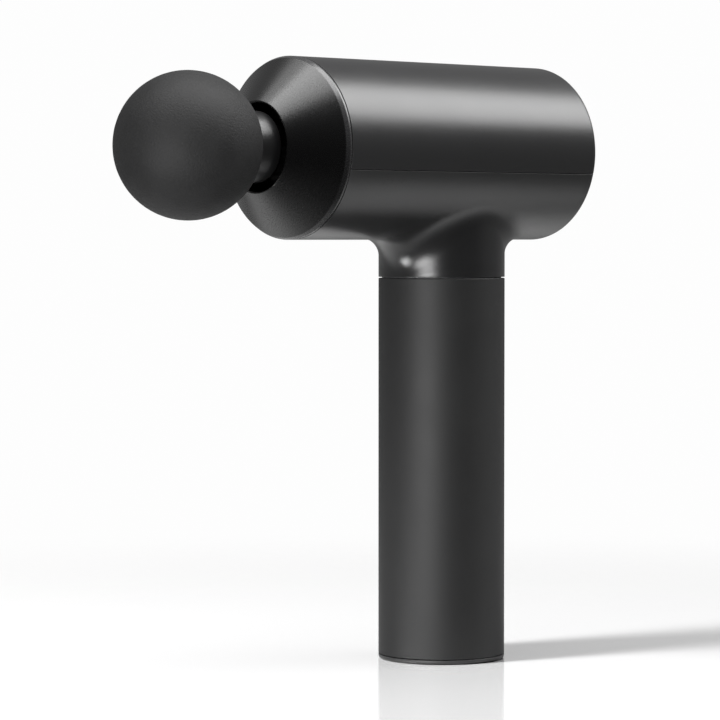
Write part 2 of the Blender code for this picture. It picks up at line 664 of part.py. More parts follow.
# ---------------------------------------------------------------- motor
def make_motor(grip):
    """Upright motor in the neck: can, magnets, armature, windings, shaft and bearings."""
    top = MOTOR_FLOOR + MOTOR_HEIGHT
    inner = MOTOR_RADIUS - MOTOR_WALL
    bearing = LOWER_BEARING_RADIUS
    floor_top = MOTOR_FLOOR + MOTOR_WALL
    can = [(bearing + GAP, MOTOR_FLOOR), (MOTOR_RADIUS, MOTOR_FLOOR), (MOTOR_RADIUS, top), (inner, top)]
    can += [(inner, floor_top), (bearing + GAP, floor_top)]
    make_piece("motor_can", turned(can, MEDIUM), grip, "steel")
    magnet_outer = inner - GAP
    magnet_inner = magnet_outer - MAGNET_THICKNESS
    low, high = floor_top + WINDING_HEIGHT, top - WINDING_HEIGHT
    magnets = ring_profile(magnet_inner, magnet_outer, low, high)
    make_piece("motor_magnets", turned(magnets, MEDIUM), grip, "magnet")
    reach = magnet_inner - ARMATURE_GAP
    hub = SHAFT_RADIUS + GAP
    core = make_piece("motor_armature", turned(ring_profile(hub, reach, low, high), MEDIUM), grip, "steel")
    slots = []
    for _, _, angle in around(ARMATURE_TEETH, 1):
        half = TOOTH_GAP / 2
        slot = block((reach * 0.45, -half, low - OVERLAP), (reach + OVERLAP, half, high + OVERLAP))
        slots.append(moved(slot, Matrix.Rotation(angle, 4, "Z")))
    cut(core, make_piece("armature_slots", merged(slots), grip))
    coils = [("winding_lower", floor_top + GAP, low - GAP), ("winding_upper", high + GAP, top - GAP)]
    for name, start, end in coils:
        half = (end - start) / 2
        middle = start + half
        coil = arc((reach - COIL_INSET, middle), half, -90, 90, 3)
        coil += arc((COIL_INNER + half, middle), half, 90, 270, 3)
        make_piece(name, turned(coil, MEDIUM), grip, "copper")
    shaft = rod_profile(SHAFT_RADIUS, MOTOR_FLOOR - OVERLAP, CRANK_TOP)
    make_piece("motor_shaft", turned(shaft, SMALL), grip, "steel")
    lower = ring_profile(SHAFT_RADIUS + GAP, bearing, MOTOR_FLOOR, MOTOR_FLOOR + MOTOR_BEARING_HEIGHT)
    make_piece("motor_bearing_lower", turned(lower, SMALL), grip, "steel")
    upper_top = END_BELL_BOTTOM + MOTOR_BEARING_HEIGHT
    upper = ring_profile(SHAFT_RADIUS + GAP, UPPER_BEARING_RADIUS, END_BELL_BOTTOM, upper_top)
    make_piece("motor_bearing_upper", turned(upper, SMALL), grip, "steel")
    bell_bore = UPPER_BEARING_RADIUS + GAP
    bell = ring_profile(bell_bore, MOTOR_RADIUS, END_BELL_BOTTOM, END_BELL_BOTTOM + END_BELL)
    cover = make_piece("motor_end_bell", turned(bell, MEDIUM), grip, "aluminium")
    bores = screw_holes(PLATE_BORE, END_BELL_BOTTOM - OVERLAP, PLATE_TOP)
    holes = make_piece("bell_holes", merged(bores), grip)
    cut(cover, holes)
    for index, (x, y, _) in enumerate(motor_screw_places(), 1):
        head, tip, end = PLATE_TOP + GAP, END_BELL_BOTTOM + GAP, PLATE_TOP + GAP + SCREW_HEAD_HEIGHT
        screw = [(0, tip), (MOTOR_SCREW_SHANK, tip), (MOTOR_SCREW_SHANK, head)]
        screw += [(MOTOR_SCREW_HEAD, head), (MOTOR_SCREW_HEAD, end), (0, end)]
        make_piece("motor_screw_%d" % index, turned(screw, SMALL), grip, "steel", (x, y, 0))


def motor_screw_places():
    """Screws through the chassis plate into the motor's end bell, outside the crank wheel."""
    return [(x, y, angle) for x, y, angle in around(4, MOTOR_RADIUS - 2 * MOTOR_SCREW_SHANK, 45)][:3]


def screw_holes(radius, low, high):
    """Cutters at the motor screws."""
    shapes = []
    for x, y, _ in motor_screw_places():
        shapes.append(moved(turned(rod_profile(radius, low, high), SMALL), Matrix.Translation((x, y, 0))))
    return shapes


# ---------------------------------------------------------------- chassis and drive
def make_chassis(grip, barrel):
    """One moulding: motor plate and skirt, two cheeks, two frames and the plunger's guide tube."""
    skirt_outer = CORE_INNER - GAP
    skirt_inner = MOTOR_RADIUS + GAP
    plate_radius = CORE_OUTER - EDGE
    hub = PLATE_HUB
    profile = [(skirt_inner, SKIRT_BOTTOM), (skirt_outer, SKIRT_BOTTOM), (skirt_outer, PLATE_BOTTOM)]
    profile += [(plate_radius, PLATE_BOTTOM), (plate_radius, PLATE_TOP), (hub, PLATE_TOP)]
    profile += [(hub, PLATE_BOTTOM), (skirt_inner, PLATE_BOTTOM)]
    chassis = make_piece("chassis", turned(profile, ROUND), grip, "frame_plastic")
    holes = merged(screw_holes(PLATE_BORE, PLATE_BOTTOM - OVERLAP, PLATE_TOP + OVERLAP))
    cutters = [make_piece("plate_holes", holes, grip)]
    for index, cutter in enumerate(neck_holes(), 1):
        cutters.append(make_piece("skirt_bore_%d" % index, cutter, grip))
    half = 2 * LEAD_RADIUS
    notch_low = (-half, MOTOR_RADIUS - 0.0005, SKIRT_BOTTOM - OVERLAP)
    notch = block(notch_low, (half, GRIP_RADIUS, PLATE_TOP + OVERLAP))
    cutters.append(make_piece("lead_notch", notch, grip))
    cut(chassis, *cutters)
    reach = BULKHEAD_FRONT + BULKHEAD_THICKNESS / 2
    step = PLATE_TOP + CHEEK_STEP
    top = BARREL_HEIGHT + YOKE_HALF_HEIGHT
    foot = PLATE_TOP - PLATE_THICKNESS / 2
    half, rear_end = CHEEK_FOOT / 2, CHEEK_REAR
    outline = [(-half, foot), (half, foot), (half, step), (rear_end, step), (rear_end, top)]
    outline += [(reach, top), (reach, step), (-half, step)]
    frames = []
    for side in (-1, 1):
        inner, outer = side * CHEEK_INNER, side * (CHEEK_INNER + CHEEK_THICKNESS)
        frames.append(make_piece("cheek_%d" % side, prism(outline, inner, outer), grip))
    frame_radius = SHELL_INNER - 2 * GAP
    hidden = GUIDE_INNER + GUIDE_WALL / 2
    bulkhead_back = BULKHEAD_FRONT + BULKHEAD_THICKNESS
    rear = turned(ring_profile(hidden, frame_radius, BULKHEAD_FRONT, bulkhead_back), ROUND)
    frames.append(make_piece("bulkhead", rear, barrel))
    front_back = FRONT_FRAME + FRAME_THICKNESS
    disc = turned(ring_profile(hidden, frame_radius, FRONT_FRAME, front_back), ROUND)
    front = make_piece("front_frame", disc, barrel)
    windows = []
    for x, y, _ in around(WINDOWS, (GUIDE_OUTER + frame_radius) / 2):
        window = turned(rod_profile(WINDOW_RADIUS, FRONT_FRAME - OVERLAP, front_back + OVERLAP), SMALL)
        windows.append(moved(window, Matrix.Translation((x, y, 0))))
    cut(front, make_piece("frame_windows", merged(windows), barrel))
    tube = turned(ring_profile(GUIDE_INNER, GUIDE_OUTER, GUIDE_FRONT, bulkhead_back + 0.0005), MEDIUM)
    join(chassis, *frames, front, make_piece("guide_tube", tube, barrel))


def make_crank(grip):
    """Crank wheel with its counterweight, crank pin, bearing and clip, at the middle of the stroke."""
    bore = SHAFT_RADIUS + GAP
    wheel_shape = turned(ring_profile(bore, CRANK_RADIUS, CRANK_BOTTOM, CRANK_TOP), MEDIUM)
    wheel = make_piece("crank_wheel", wheel_shape, grip, "steel")
    weight_top = CRANK_TOP + COUNTERWEIGHT_HEIGHT
    half_ring = ring_profile(COUNTERWEIGHT_INNER, CRANK_RADIUS - EDGE, CRANK_TOP - OVERLAP, weight_top)
    weight = make_piece("counterweight", turned(half_ring, MEDIUM), grip)
    reach = 2 * CRANK_RADIUS
    cut(weight, make_piece("weight_trim", block((-OVERLAP, -reach, 0), (reach, reach, BARREL_HEIGHT)), grip))
    join(wheel, weight)
    crank = STROKE / 2
    hole_top = CRANK_TOP + 2 * COUNTERWEIGHT_HEIGHT
    pin_hole = turned(rod_profile(PIN_RADIUS + GAP, CRANK_BOTTOM + OVERLAP, hole_top), SMALL)
    cut(wheel, make_piece("pin_hole", pin_hole, grip, location=(crank, 0, 0)))
    bearing_low = BARREL_HEIGHT - CRANK_BEARING_HEIGHT / 2
    bearing_high = BARREL_HEIGHT + CRANK_BEARING_HEIGHT / 2
    pin_top = bearing_high + 0.0018
    pin_foot, collar, collar_low = CRANK_BOTTOM + OVERLAP + GAP, PIN_RADIUS + 0.0010, bearing_low - 0.0010
    shoulder = [(0, pin_foot), (PIN_RADIUS, pin_foot), (PIN_RADIUS, collar_low)]
    shoulder += [(collar, collar_low), (collar, bearing_low - GAP)]
    shoulder += [(PIN_RADIUS, bearing_low - GAP), (PIN_RADIUS, pin_top), (0, pin_top)]
    make_piece("crank_pin", turned(shoulder, SMALL), grip, "steel", (crank, 0, 0))
    ring = ring_profile(PIN_RADIUS + GAP, CRANK_BEARING_RADIUS, bearing_low, bearing_high)
    make_piece("crank_bearing", turned(ring, MEDIUM), grip, "steel", (crank, 0, 0))
    clip_low, clip_high = bearing_high + GAP, bearing_high + CLIP_TOP
    clip = ring_profile(PIN_RADIUS + GAP, PIN_RADIUS + CLIP_WIDTH, clip_low, clip_high)
    make_piece("crank_clip", turned(clip, SMALL), grip, "steel", (crank, 0, 0))


def make_plunger(barrel):
    """Yoke, plunger with its socket, guide bushes and dust seal."""
    low = (-YOKE_HALF_WIDTH, -YOKE_HALF_HEIGHT, -YOKE_HALF_LENGTH)
    high = (YOKE_HALF_WIDTH, YOKE_HALF_HEIGHT, YOKE_HALF_LENGTH)
    yoke = make_piece("yoke", block(low, high), barrel, "aluminium")
    half_slot = STROKE / 2 + CRANK_BEARING_RADIUS + 0.0008
    half_play = CRANK_BEARING_RADIUS + YOKE_SLACK
    slot = block((-half_slot, -0.02, -half_play), (half_slot, 0.02, half_play))
    cut(yoke, make_piece("yoke_slot", slot, barrel))
    neck = YOKE_NECK
    rear = -YOKE_HALF_LENGTH - GAP
    step = rear - YOKE_NECK_LENGTH
    profile = [(0, rear), (neck, rear), (neck, step), (PLUNGER_RADIUS, step)]
    profile += [(PLUNGER_RADIUS, PLUNGER_FRONT + EDGE), (PLUNGER_RADIUS - EDGE, PLUNGER_FRONT)]
    bottom = PLUNGER_FRONT + SOCKET_DEPTH
    profile += [(SOCKET_RADIUS, PLUNGER_FRONT), (SOCKET_RADIUS, bottom), (PLUNGER_HOLLOW, bottom)]
    profile += [(PLUNGER_HOLLOW, step - 0.0030), (0, step - 0.0030)]
    make_piece("plunger", turned(profile, MEDIUM), barrel, "aluminium")
    rear_low = BULKHEAD_FRONT - BUSH_LENGTH + BULKHEAD_THICKNESS
    for name, start in (("guide_bush_rear", rear_low), ("guide_bush_front", GUIDE_FRONT)):
        bush = turned(ring_profile(BUSH_INNER, BUSH_OUTER, start, start + BUSH_LENGTH), MEDIUM)
        make_piece(name, bush, barrel, "bronze")
    seal_back = GUIDE_FRONT - GAP
    seal = [(GUIDE_OUTER, seal_back), (GUIDE_OUTER, seal_back - 0.0025)]
    seal += [(BUSH_INNER, seal_back - SEAL_DEPTH), (BUSH_INNER, seal_back - 0.0020)]
    seal += [(BUSH_INNER + 0.0015, seal_back)]
    make_piece("dust_seal", turned(seal, MEDIUM), barrel, "rubber")


# ---------------------------------------------------------------- massage head
def make_head(barrel):
    """Stem with its collar and two O-rings, and the ball moulded round its flange."""
    stem_rear = COLLAR_REAR + STEM_LENGTH
    groove = STEM_RADIUS - 2 * RING_SECTION
    profile = [(0, stem_rear), (STEM_RADIUS - STEM_LEAD_IN, stem_rear)]
    profile += [(STEM_RADIUS, stem_rear - STEM_LEAD_IN)]
    rings = (stem_rear - RING_PLACE, stem_rear - RING_PLACE - RING_SPACING)
    half_groove = RING_SECTION + 0.0002
    for middle in rings:
        profile += [(STEM_RADIUS, middle + half_groove), (groove, middle + half_groove)]
        profile += [(groove, middle - half_groove), (STEM_RADIUS, middle - half_groove)]
    profile += [(STEM_RADIUS, COLLAR_REAR), (COLLAR_RADIUS - EDGE, COLLAR_REAR)]
    profile += [(COLLAR_RADIUS, COLLAR_REAR - EDGE)]
    flange_rear = COLLAR_FRONT - CORE_LENGTH
    flange_front = flange_rear - FLANGE_THICKNESS
    profile += [(COLLAR_RADIUS, COLLAR_FRONT), (NECK_CORE, COLLAR_FRONT), (NECK_CORE, flange_rear)]
    profile += [(CORE_FLANGE, flange_rear), (CORE_FLANGE, flange_front), (0, flange_front)]
    make_piece("head_stem", turned(profile, MEDIUM), barrel, "black_plastic")
    for name, middle in zip(("head_ring_rear", "head_ring_front"), rings):
        centre = (groove + RING_SECTION + 0.0001, middle)
        section = arc(centre, RING_SECTION - 0.00005, 0, 360, 8)[:-1]
        make_piece(name, turned(section, MEDIUM), barrel, "rubber")
    mouth = COLLAR_RADIUS + GAP
    start = math.degrees(math.acos(mouth / BALL_RADIUS))
    ball = arc((0, BALL_CENTRE), BALL_RADIUS, start, -90, 14)
    ball[-1] = (0, BALL_CENTRE - BALL_RADIUS)
    flange, core = CORE_FLANGE + GAP, NECK_CORE + GAP
    ball += [(0, flange_front - GAP), (flange, flange_front - GAP), (flange, flange_rear + GAP)]
    ball += [(core, flange_rear + GAP), (core, COLLAR_FRONT - GAP), (mouth, COLLAR_FRONT - GAP)]
    cavity = ball.index((0, BALL_CENTRE - BALL_RADIUS)) + 1
    make_piece("massage_ball", turned(ball[cavity:] + ball[:cavity], ROUND), barrel, "foam")


# ---------------------------------------------------------------- covers
def shell_tube(barrel, name, finish=None):
    """The whole barrel wall with its rounded rear edge and lip."""
    profile = [(BARREL_RADIUS, BARREL_FRONT)]
    profile += arc((BARREL_RADIUS - REAR_EDGE, BARREL_REAR - REAR_EDGE), REAR_EDGE, 0, 90, 3)
    profile += [(REAR_OPENING, BARREL_REAR), (REAR_OPENING, BARREL_REAR - REAR_LIP)]
    profile += [(SHELL_INNER, BARREL_REAR - REAR_LIP), (SHELL_INNER, BARREL_FRONT)]
    return make_piece(name, turned(profile, ROUND), barrel, finish)


def neck_fairing():
    """The neck's wall, blended into the barrel by a rolling-ball fillet of one radius."""
    shape = bmesh.new()
    foot = GRIP_TOP + GROOVE
    bore = CORE_OUTER - 0.0004
    reach = BARREL_RADIUS + NECK_FILLET
    depth = SHELL_WALL / 2
    fillet_steps = 6
    rows = []
    for step in range(ROUND):
        angle = 2 * math.pi * step / ROUND
        out = Vector((math.sin(angle), math.cos(angle), 0))
        centre = out * (GRIP_RADIUS + NECK_FILLET)
        centre.z = BARREL_HEIGHT - math.sqrt(reach * reach - centre.x * centre.x)
        to_grip = -out
        to_barrel = Vector((-centre.x, 0, BARREL_HEIGHT - centre.z)) / reach
        turn = to_grip.angle(to_barrel)
        row = [out * bore + Vector((0, 0, foot)), out * (GRIP_RADIUS - 0.0004) + Vector((0, 0, foot))]
        row.append(out * GRIP_RADIUS + Vector((0, 0, foot + 0.0001)))
        for part in range(fillet_steps + 1):
            share = part / fillet_steps
            way = to_grip * math.sin((1 - share) * turn) + to_barrel * math.sin(share * turn)
            row.append(centre + way * (NECK_FILLET / math.sin(turn)))
        row.append(centre + to_barrel * (NECK_FILLET + depth))
        inside = BARREL_RADIUS - depth
        side = out.x * bore
        row.append(out * bore + Vector((0, 0, BARREL_HEIGHT - math.sqrt(inside * inside - side * side))))
        rows.append([shape.verts.new(point) for point in row])
    for row, after in zip(rows, rows[1:] + rows[:1]):
        for index in range(len(row)):
            following = (index + 1) % len(row)
            shape.faces.new((row[index], after[index], after[following], row[following]))
    return shape


def make_shells(grip, barrel):
    """Upper and lower barrel shells, parted level below the axis."""
    far = 0.2
    upper = shell_tube(barrel, "upper_shell", "satin_shell")
    below = block((-far, -far, SEAM_HEIGHT - far), (far, far, SEAM_HEIGHT + GAP / 2))
    cut(upper, make_piece("below_seam", below, grip))
    lower = shell_tube(barrel, "lower_shell", "satin_shell")
    join(lower, make_piece("neck_fairing", neck_fairing(), grip))
    above = block((-far, -far, SEAM_HEIGHT - GAP / 2), (far, far, SEAM_HEIGHT + far))
    cut(lower, make_piece("above_seam", above, grip))
    bore = turned(rod_profile(CORE_OUTER + GAP, GRIP_TOP, BARREL_HEIGHT), ROUND)
    cut(lower, make_piece("neck_bore", bore, grip))


def make_nose(barrel):
    """Cone with a rounded rim, a round opening and a spigot that holds the shells together."""
    rim = (BARREL_RADIUS - NOSE_RIM_DROP, NOSE_BACK - NOSE_RIM)
    tip = (NOSE_HOLE + NOSE_LAND, NOSE_TIP)
    along = Vector((tip[0] - rim[0], tip[1] - rim[1])).normalized()
    inner_tip = (tip[0] + along.y * NOSE_WALL, tip[1] - along.x * NOSE_WALL)
    slope = along.y / along.x
    spigot_outer = SHELL_INNER - GAP
    spigot_inner = spigot_outer - NOSE_WALL
    profile = [(BARREL_RADIUS, NOSE_BACK), (BARREL_RADIUS, NOSE_BACK - NOSE_RIM * 0.4), rim, tip]
    profile += [(NOSE_HOLE, NOSE_TIP + EDGE)]
    for radius in (NOSE_HOLE, spigot_inner):
        profile.append((radius, inner_tip[1] + (radius - inner_tip[0]) * slope))
    profile += [(spigot_inner, NOSE_BACK + NOSE_SPIGOT), (spigot_outer, NOSE_BACK + NOSE_SPIGOT)]
    profile += [(spigot_outer, NOSE_BACK)]
    make_piece("nose_cone", turned(profile, ROUND), barrel, "satin_shell")


def make_rear(barrel):
    """Rear cap with vents, light ring, button, switch and control board."""
    flange = SHELL_INNER - 2 * GAP
    face = REAR_OPENING - GAP
    ring_outer = BUTTON_RADIUS + GAP + LIGHT_RING_WIDTH
    opening = ring_outer + GAP
    profile = [(opening, REAR_FLANGE_FRONT), (flange, REAR_FLANGE_FRONT), (flange, REAR_FLANGE_BACK)]
    profile += [(face, REAR_FLANGE_BACK), (face, REAR_FACE - CAP_EDGE), (face - CAP_EDGE, REAR_FACE)]
    profile += [(opening, REAR_FACE)]
    cap = make_piece("rear_cap", turned(profile, ROUND), barrel, "black_plastic")
    slots = []
    half = VENT_WIDTH / 2
    for _, _, angle in around(VENTS, 1, 180 / VENTS):
        low = (VENT_INNER, -half, REAR_FLANGE_FRONT - 2 * OVERLAP)
        slot = block(low, (VENT_OUTER, half, REAR_FACE + 2 * OVERLAP))
        slots.append(moved(slot, Matrix.Rotation(angle, 4, "Z")))
    board_back = CONTROL_BOARD_FRONT + BOARD
    board_shape = turned(rod_profile(CONTROL_BOARD_RADIUS, CONTROL_BOARD_FRONT, board_back), MEDIUM)
    board = make_piece("control_board", board_shape, barrel, "board")
    posts, bores = [], []
    for index, (x, y, _) in enumerate(around(3, CONTROL_BOARD_RADIUS - BOARD_SCREW_INSET, 30), 1):
        shift = Matrix.Translation((x, y, 0))
        post = turned(rod_profile(BOARD_POST_RADIUS, board_back + GAP, REAR_FLANGE_FRONT + OVERLAP), SMALL)
        posts.append(make_piece("board_post_%d" % index, moved(post, shift), barrel))
        bore_end = board_back + BOARD_BORE_DEPTH
        bore = turned(rod_profile(BOARD_BORE, CONTROL_BOARD_FRONT - OVERLAP, bore_end), SMALL)
        bores.append(make_piece("board_bore_%d" % index, moved(bore, shift), barrel))
        head, shank, tip = CONTROL_BOARD_FRONT - GAP, BOARD_BORE - GAP, bore_end - 0.0005
        screw = [(0, head - SCREW_HEAD_HEIGHT), (BOARD_SCREW_HEAD, head - SCREW_HEAD_HEIGHT)]
        screw += [(BOARD_SCREW_HEAD, head), (shank, head), (shank, tip), (0, tip)]
        make_piece("board_screw_%d" % index, moved(turned(screw, SMALL), shift), barrel, "steel")
    cut(board, *bores)
    join(cap, *posts)
    cut(cap, *bores, make_piece("rear_vents", merged(slots), barrel))
    ring = ring_profile(BUTTON_RADIUS + GAP, ring_outer, REAR_FLANGE_FRONT, REAR_FACE + GAP)
    make_piece("light_ring", turned(ring, MEDIUM), barrel, "light")
    half = SWITCH_SIZE / 2
    switch_back = board_back + GAP + SWITCH_HEIGHT
    switch = block((-half, -half, board_back + GAP), (half, half, switch_back))
    make_piece("button_switch", switch, barrel, "black_plastic")
    stem_front = switch_back + BUTTON_TRAVEL + GAP
    skirt_front = REAR_FLANGE_FRONT + BUTTON_TRAVEL + 0.0002
    back = REAR_FACE + BUTTON_PROUD
    button = [(0, stem_front), (BUTTON_STEM, stem_front), (BUTTON_STEM, skirt_front)]
    button += [(BUTTON_RADIUS, skirt_front), (BUTTON_RADIUS, back - EDGE)]
    button += [(BUTTON_RADIUS - EDGE, back), (0, back)]
    make_piece("power_button", turned(button, MEDIUM), barrel, "black_plastic")


def main():
    """Build every piece."""
    clear_scene()
    grip = make_axis("grip_axis", (0, 0, 0))
    barrel = make_axis("barrel_axis", (0, 0, BARREL_HEIGHT), (-math.pi / 2, 0, 0))
    make_foot(grip)
    make_grip(grip)
    make_charge_board(grip)
    make_cells(grip)
    make_driver_board(grip)
    make_motor(grip)
    make_chassis(grip, barrel)
    make_neck_screws(grip)
    make_crank(grip)
    make_plunger(barrel)
    make_head(barrel)
    make_shells(grip, barrel)
    make_nose(barrel)
    make_rear(barrel)


main()
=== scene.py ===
"""The looks of a cordless massage gun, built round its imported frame.

A round soft grip carries a level barrel of two blasted shells with a conical nose, a foam ball
head on a moulded collar, and a vented cap with the power button at the rear.
"""

import json
import logging
import math
from dataclasses import dataclass
from enum import Enum
from typing import ClassVar, Optional, Sequence, Union

import bmesh
import bpy
from mathutils import Matrix, Vector, noise


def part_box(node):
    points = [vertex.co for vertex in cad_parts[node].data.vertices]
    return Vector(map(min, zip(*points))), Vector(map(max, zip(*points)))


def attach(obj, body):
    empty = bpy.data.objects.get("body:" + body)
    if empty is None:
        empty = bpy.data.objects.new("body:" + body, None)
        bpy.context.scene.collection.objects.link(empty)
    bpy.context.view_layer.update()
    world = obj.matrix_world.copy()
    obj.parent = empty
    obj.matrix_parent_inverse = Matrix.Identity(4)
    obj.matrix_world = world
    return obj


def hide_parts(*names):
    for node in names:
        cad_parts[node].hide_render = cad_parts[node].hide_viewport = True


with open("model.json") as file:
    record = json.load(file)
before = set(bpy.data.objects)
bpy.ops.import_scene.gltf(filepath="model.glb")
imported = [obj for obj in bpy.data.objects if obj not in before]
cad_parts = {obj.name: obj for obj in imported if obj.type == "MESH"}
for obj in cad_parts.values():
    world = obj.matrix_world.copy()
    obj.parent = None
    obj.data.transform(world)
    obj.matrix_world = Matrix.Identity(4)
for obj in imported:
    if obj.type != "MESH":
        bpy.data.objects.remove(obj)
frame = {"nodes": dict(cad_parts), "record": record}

log = logging.getLogger("massage_gun")

Colour = tuple[float, float, float]
Point = tuple[float, float]
Corner = tuple[float, float, float]
Triple = tuple[float, float, float]
Value = Union["Sock", float, tuple]

MILLIMETRE = 0.001
MICRON = 0.000001
GAP = 0.3 * MILLIMETRE
SMOOTH_ANGLE = 32.0
HOLD = 1.35
ALMOST_HALF = 0.49


# ---------------- node trees as expressions
class Sock:
    """An output socket whose arithmetic adds Math nodes to its tree."""

    def __init__(self, tree: "NodeTree", socket: bpy.types.NodeSocket) -> None:
        """Keeps the socket and the tree that holds it."""
        self.tree = tree
        self.socket = socket

    def __add__(self, other: Value) -> "Sock":
        """Sum."""
        return self.tree.math("ADD", self, other)

    def __radd__(self, other: Value) -> "Sock":
        """Sum, reflected."""
        return self.tree.math("ADD", other, self)

    def __sub__(self, other: Value) -> "Sock":
        """Difference."""
        return self.tree.math("SUBTRACT", self, other)

    def __rsub__(self, other: Value) -> "Sock":
        """Difference, reflected."""
        return self.tree.math("SUBTRACT", other, self)

    def __mul__(self, other: Value) -> "Sock":
        """Product."""
        return self.tree.math("MULTIPLY", self, other)

    def __rmul__(self, other: Value) -> "Sock":
        """Product, reflected."""
        return self.tree.math("MULTIPLY", other, self)

    def __truediv__(self, other: Value) -> "Sock":
        """Quotient."""
        return self.tree.math("DIVIDE", self, other)

    def __rtruediv__(self, other: Value) -> "Sock":
        """Quotient, reflected."""
        return self.tree.math("DIVIDE", other, self)

    def eased(self, low: float, high: float) -> "Sock":
        """A smooth step from zero at low to one at high."""
        settings = {"interpolation_type": "SMOOTHSTEP"}
        return self.tree.node("ShaderNodeMapRange", settings, {0: self, 1: low, 2: high})


class NodeTree:
    """A tree whose nodes are added, set and linked in one call."""

    def __init__(self, tree: bpy.types.NodeTree) -> None:
        """Takes over a tree and empties it."""
        self.tree = tree
        tree.nodes.clear()

    def feed(self, socket: bpy.types.NodeSocket, value: Value) -> None:
        """Links a Sock to an input, or sets the input's own value.

        Args:
            socket: the input.
            value: what feeds it.
        """
        if isinstance(value, Sock):
            self.tree.links.new(value.socket, socket)
        else:
            socket.default_value = value

    def node(self, kind: str, settings: dict, inputs: dict, output: Union[int, str] = 0) -> Sock:
        """Adds a node.

        Args:
            kind: the node's type.
            settings: its properties, set first; "stops" are a ramp's places and colours.
            inputs: its input sockets, by name or number, with values or links.
            output: the output to return.

        Returns:
            The chosen output.
        """
        node = self.tree.nodes.new(kind)
        for key, value in settings.items():
            if key == "stops":
                elements = node.color_ramp.elements
                while len(elements) < len(value):
                    elements.new(0.5)
                for element, (place, colour) in zip(elements, value):
                    element.position = place
                    element.color = (*colour, 1.0)
            else:
                setattr(node, key, value)
        for key, value in inputs.items():
            self.feed(node.inputs[key], value)
        return Sock(self, node.outputs[output])

    def math(self, operation: str, first: Value, second: Value) -> Sock:
        """A Math node on two values."""
        return self.node("ShaderNodeMath", {"operation": operation}, {0: first, 1: second})

    def dot(self, first: Value, second: Value) -> Sock:
        """The dot product of two vectors."""
        settings = {"operation": "DOT_PRODUCT"}
        return self.node("ShaderNodeVectorMath", settings, {0: first, 1: second}, "Value")

    def looked_at(self) -> Sock:
        """One where the camera looks, and zero for light and reflections."""
        return self.node("ShaderNodeLightPath", {}, {}, "Is Camera Ray")


class Shader(NodeTree):
    """A material with one Principled shader and the nodes that feed it."""

    def __init__(self, name: str, **constants: Value) -> None:
        """Makes the material.

        Args:
            name: the material's name.
            **constants: socket names, with _ for a space, and their constant values.
        """
        self.material = bpy.data.materials.new(name)
        self.material.use_nodes = True
        super().__init__(self.material.node_tree)
        self.principled = self.tree.nodes.new("ShaderNodeBsdfPrincipled")
        output = self.tree.nodes.new("ShaderNodeOutputMaterial")
        self.tree.links.new(self.principled.outputs[0], output.inputs[0])
        self.finish(**constants)

    def finish(self, **sockets: Value) -> bpy.types.Material:
        """Feeds the Principled shader.

        Args:
            **sockets: socket names, with _ for a space, and what feeds them.

        Returns:
            The material.
        """
        for socket, value in sockets.items():
            self.feed(self.principled.inputs[socket.replace("_", " ")], value)
        return self.material

    def mix(self, share: Value, first: Value, second: Value) -> Sock:
        """A colour between first and second."""
        return self.node("ShaderNodeMix", {"data_type": "RGBA"}, {0: share, 6: first, 7: second}, 2)

    def place(self) -> Sock:
        """The point on the surface, in metres."""
        return self.node("ShaderNodeTexCoord", {}, {}, "Object")

    def stretched(self, scale: Triple) -> Sock:
        """The point on the surface with each axis scaled by its own factor."""
        return self.node("ShaderNodeVectorMath", {"operation": "MULTIPLY"}, {0: self.place(), 1: scale})

    def noise(self, cell: float, detail: float, vector: Optional[Sock] = None) -> Sock:
        """Noise from 0 to 1, with the size of its features in metres and its finer layers."""
        inputs = {"Vector": vector or self.place(), "Scale": 1.0 / cell, "Detail": detail}
        return self.node("ShaderNodeTexNoise", {}, inputs)

    def bump(self, height: Sock, depth: float, strength: float = 1.0) -> Sock:
        """A normal from a height between 0 and 1, where 1 stands for a depth in metres."""
        inputs = {"Height": height, "Distance": depth, "Strength": strength}
        return self.node("ShaderNodeBump", {}, inputs)


def shade(colour: Colour, factor: float = 1.0) -> tuple[float, float, float, float]:
    """A colour scaled by a factor, with its alpha."""
    return (colour[0] * factor, colour[1] * factor, colour[2] * factor, 1.0)


# ---------------- finishes
@dataclass(frozen=True)
class Moulded:
    """Injection-moulded plastic or rubber with a spark-eroded grain.

    The finishes below it share its make: two close shades in a slow cloud (its size and layers),
    a grain that also stands as relief, and a roughness that wavers with the grain and the cloud.
    """

    colour: Colour
    roughness: float = 0.40
    grain: float = 0.0004
    grain_depth: float = 8 * MICRON
    grain_layers: float = 3.0
    stretch: Optional[Triple] = None
    cloud: Point = (0.010, 2.0)
    span: Point = (0.3, 0.7)
    shades: Point = (0.90, 1.10)
    waver: Point = (0.12, 0.06)
    constants: ClassVar[dict] = {}

    def base(self, shader: Shader, cloud: Sock) -> Sock:
        """The base colour, between the two shades."""
        low, high = self.shades
        return shader.mix(cloud.eased(*self.span), shade(self.colour, low), shade(self.colour, high))

    def material(self, name: str) -> bpy.types.Material:
        """Builds the material.

        Args:
            name: the material's name.

        Returns:
            The material.
        """
        shader = Shader(name, **self.constants)
        vector = shader.stretched(self.stretch) if self.stretch else None
        grain = shader.noise(self.grain, self.grain_layers, vector)
        cloud = shader.noise(*self.cloud)
        by_grain, by_cloud = self.waver
        rough = self.roughness + (grain - 0.5) * by_grain + (cloud - 0.5) * by_cloud
        relief = shader.bump(grain, self.grain_depth)
        return shader.finish(Base_Color=self.base(shader, cloud), Roughness=rough, Normal=relief)


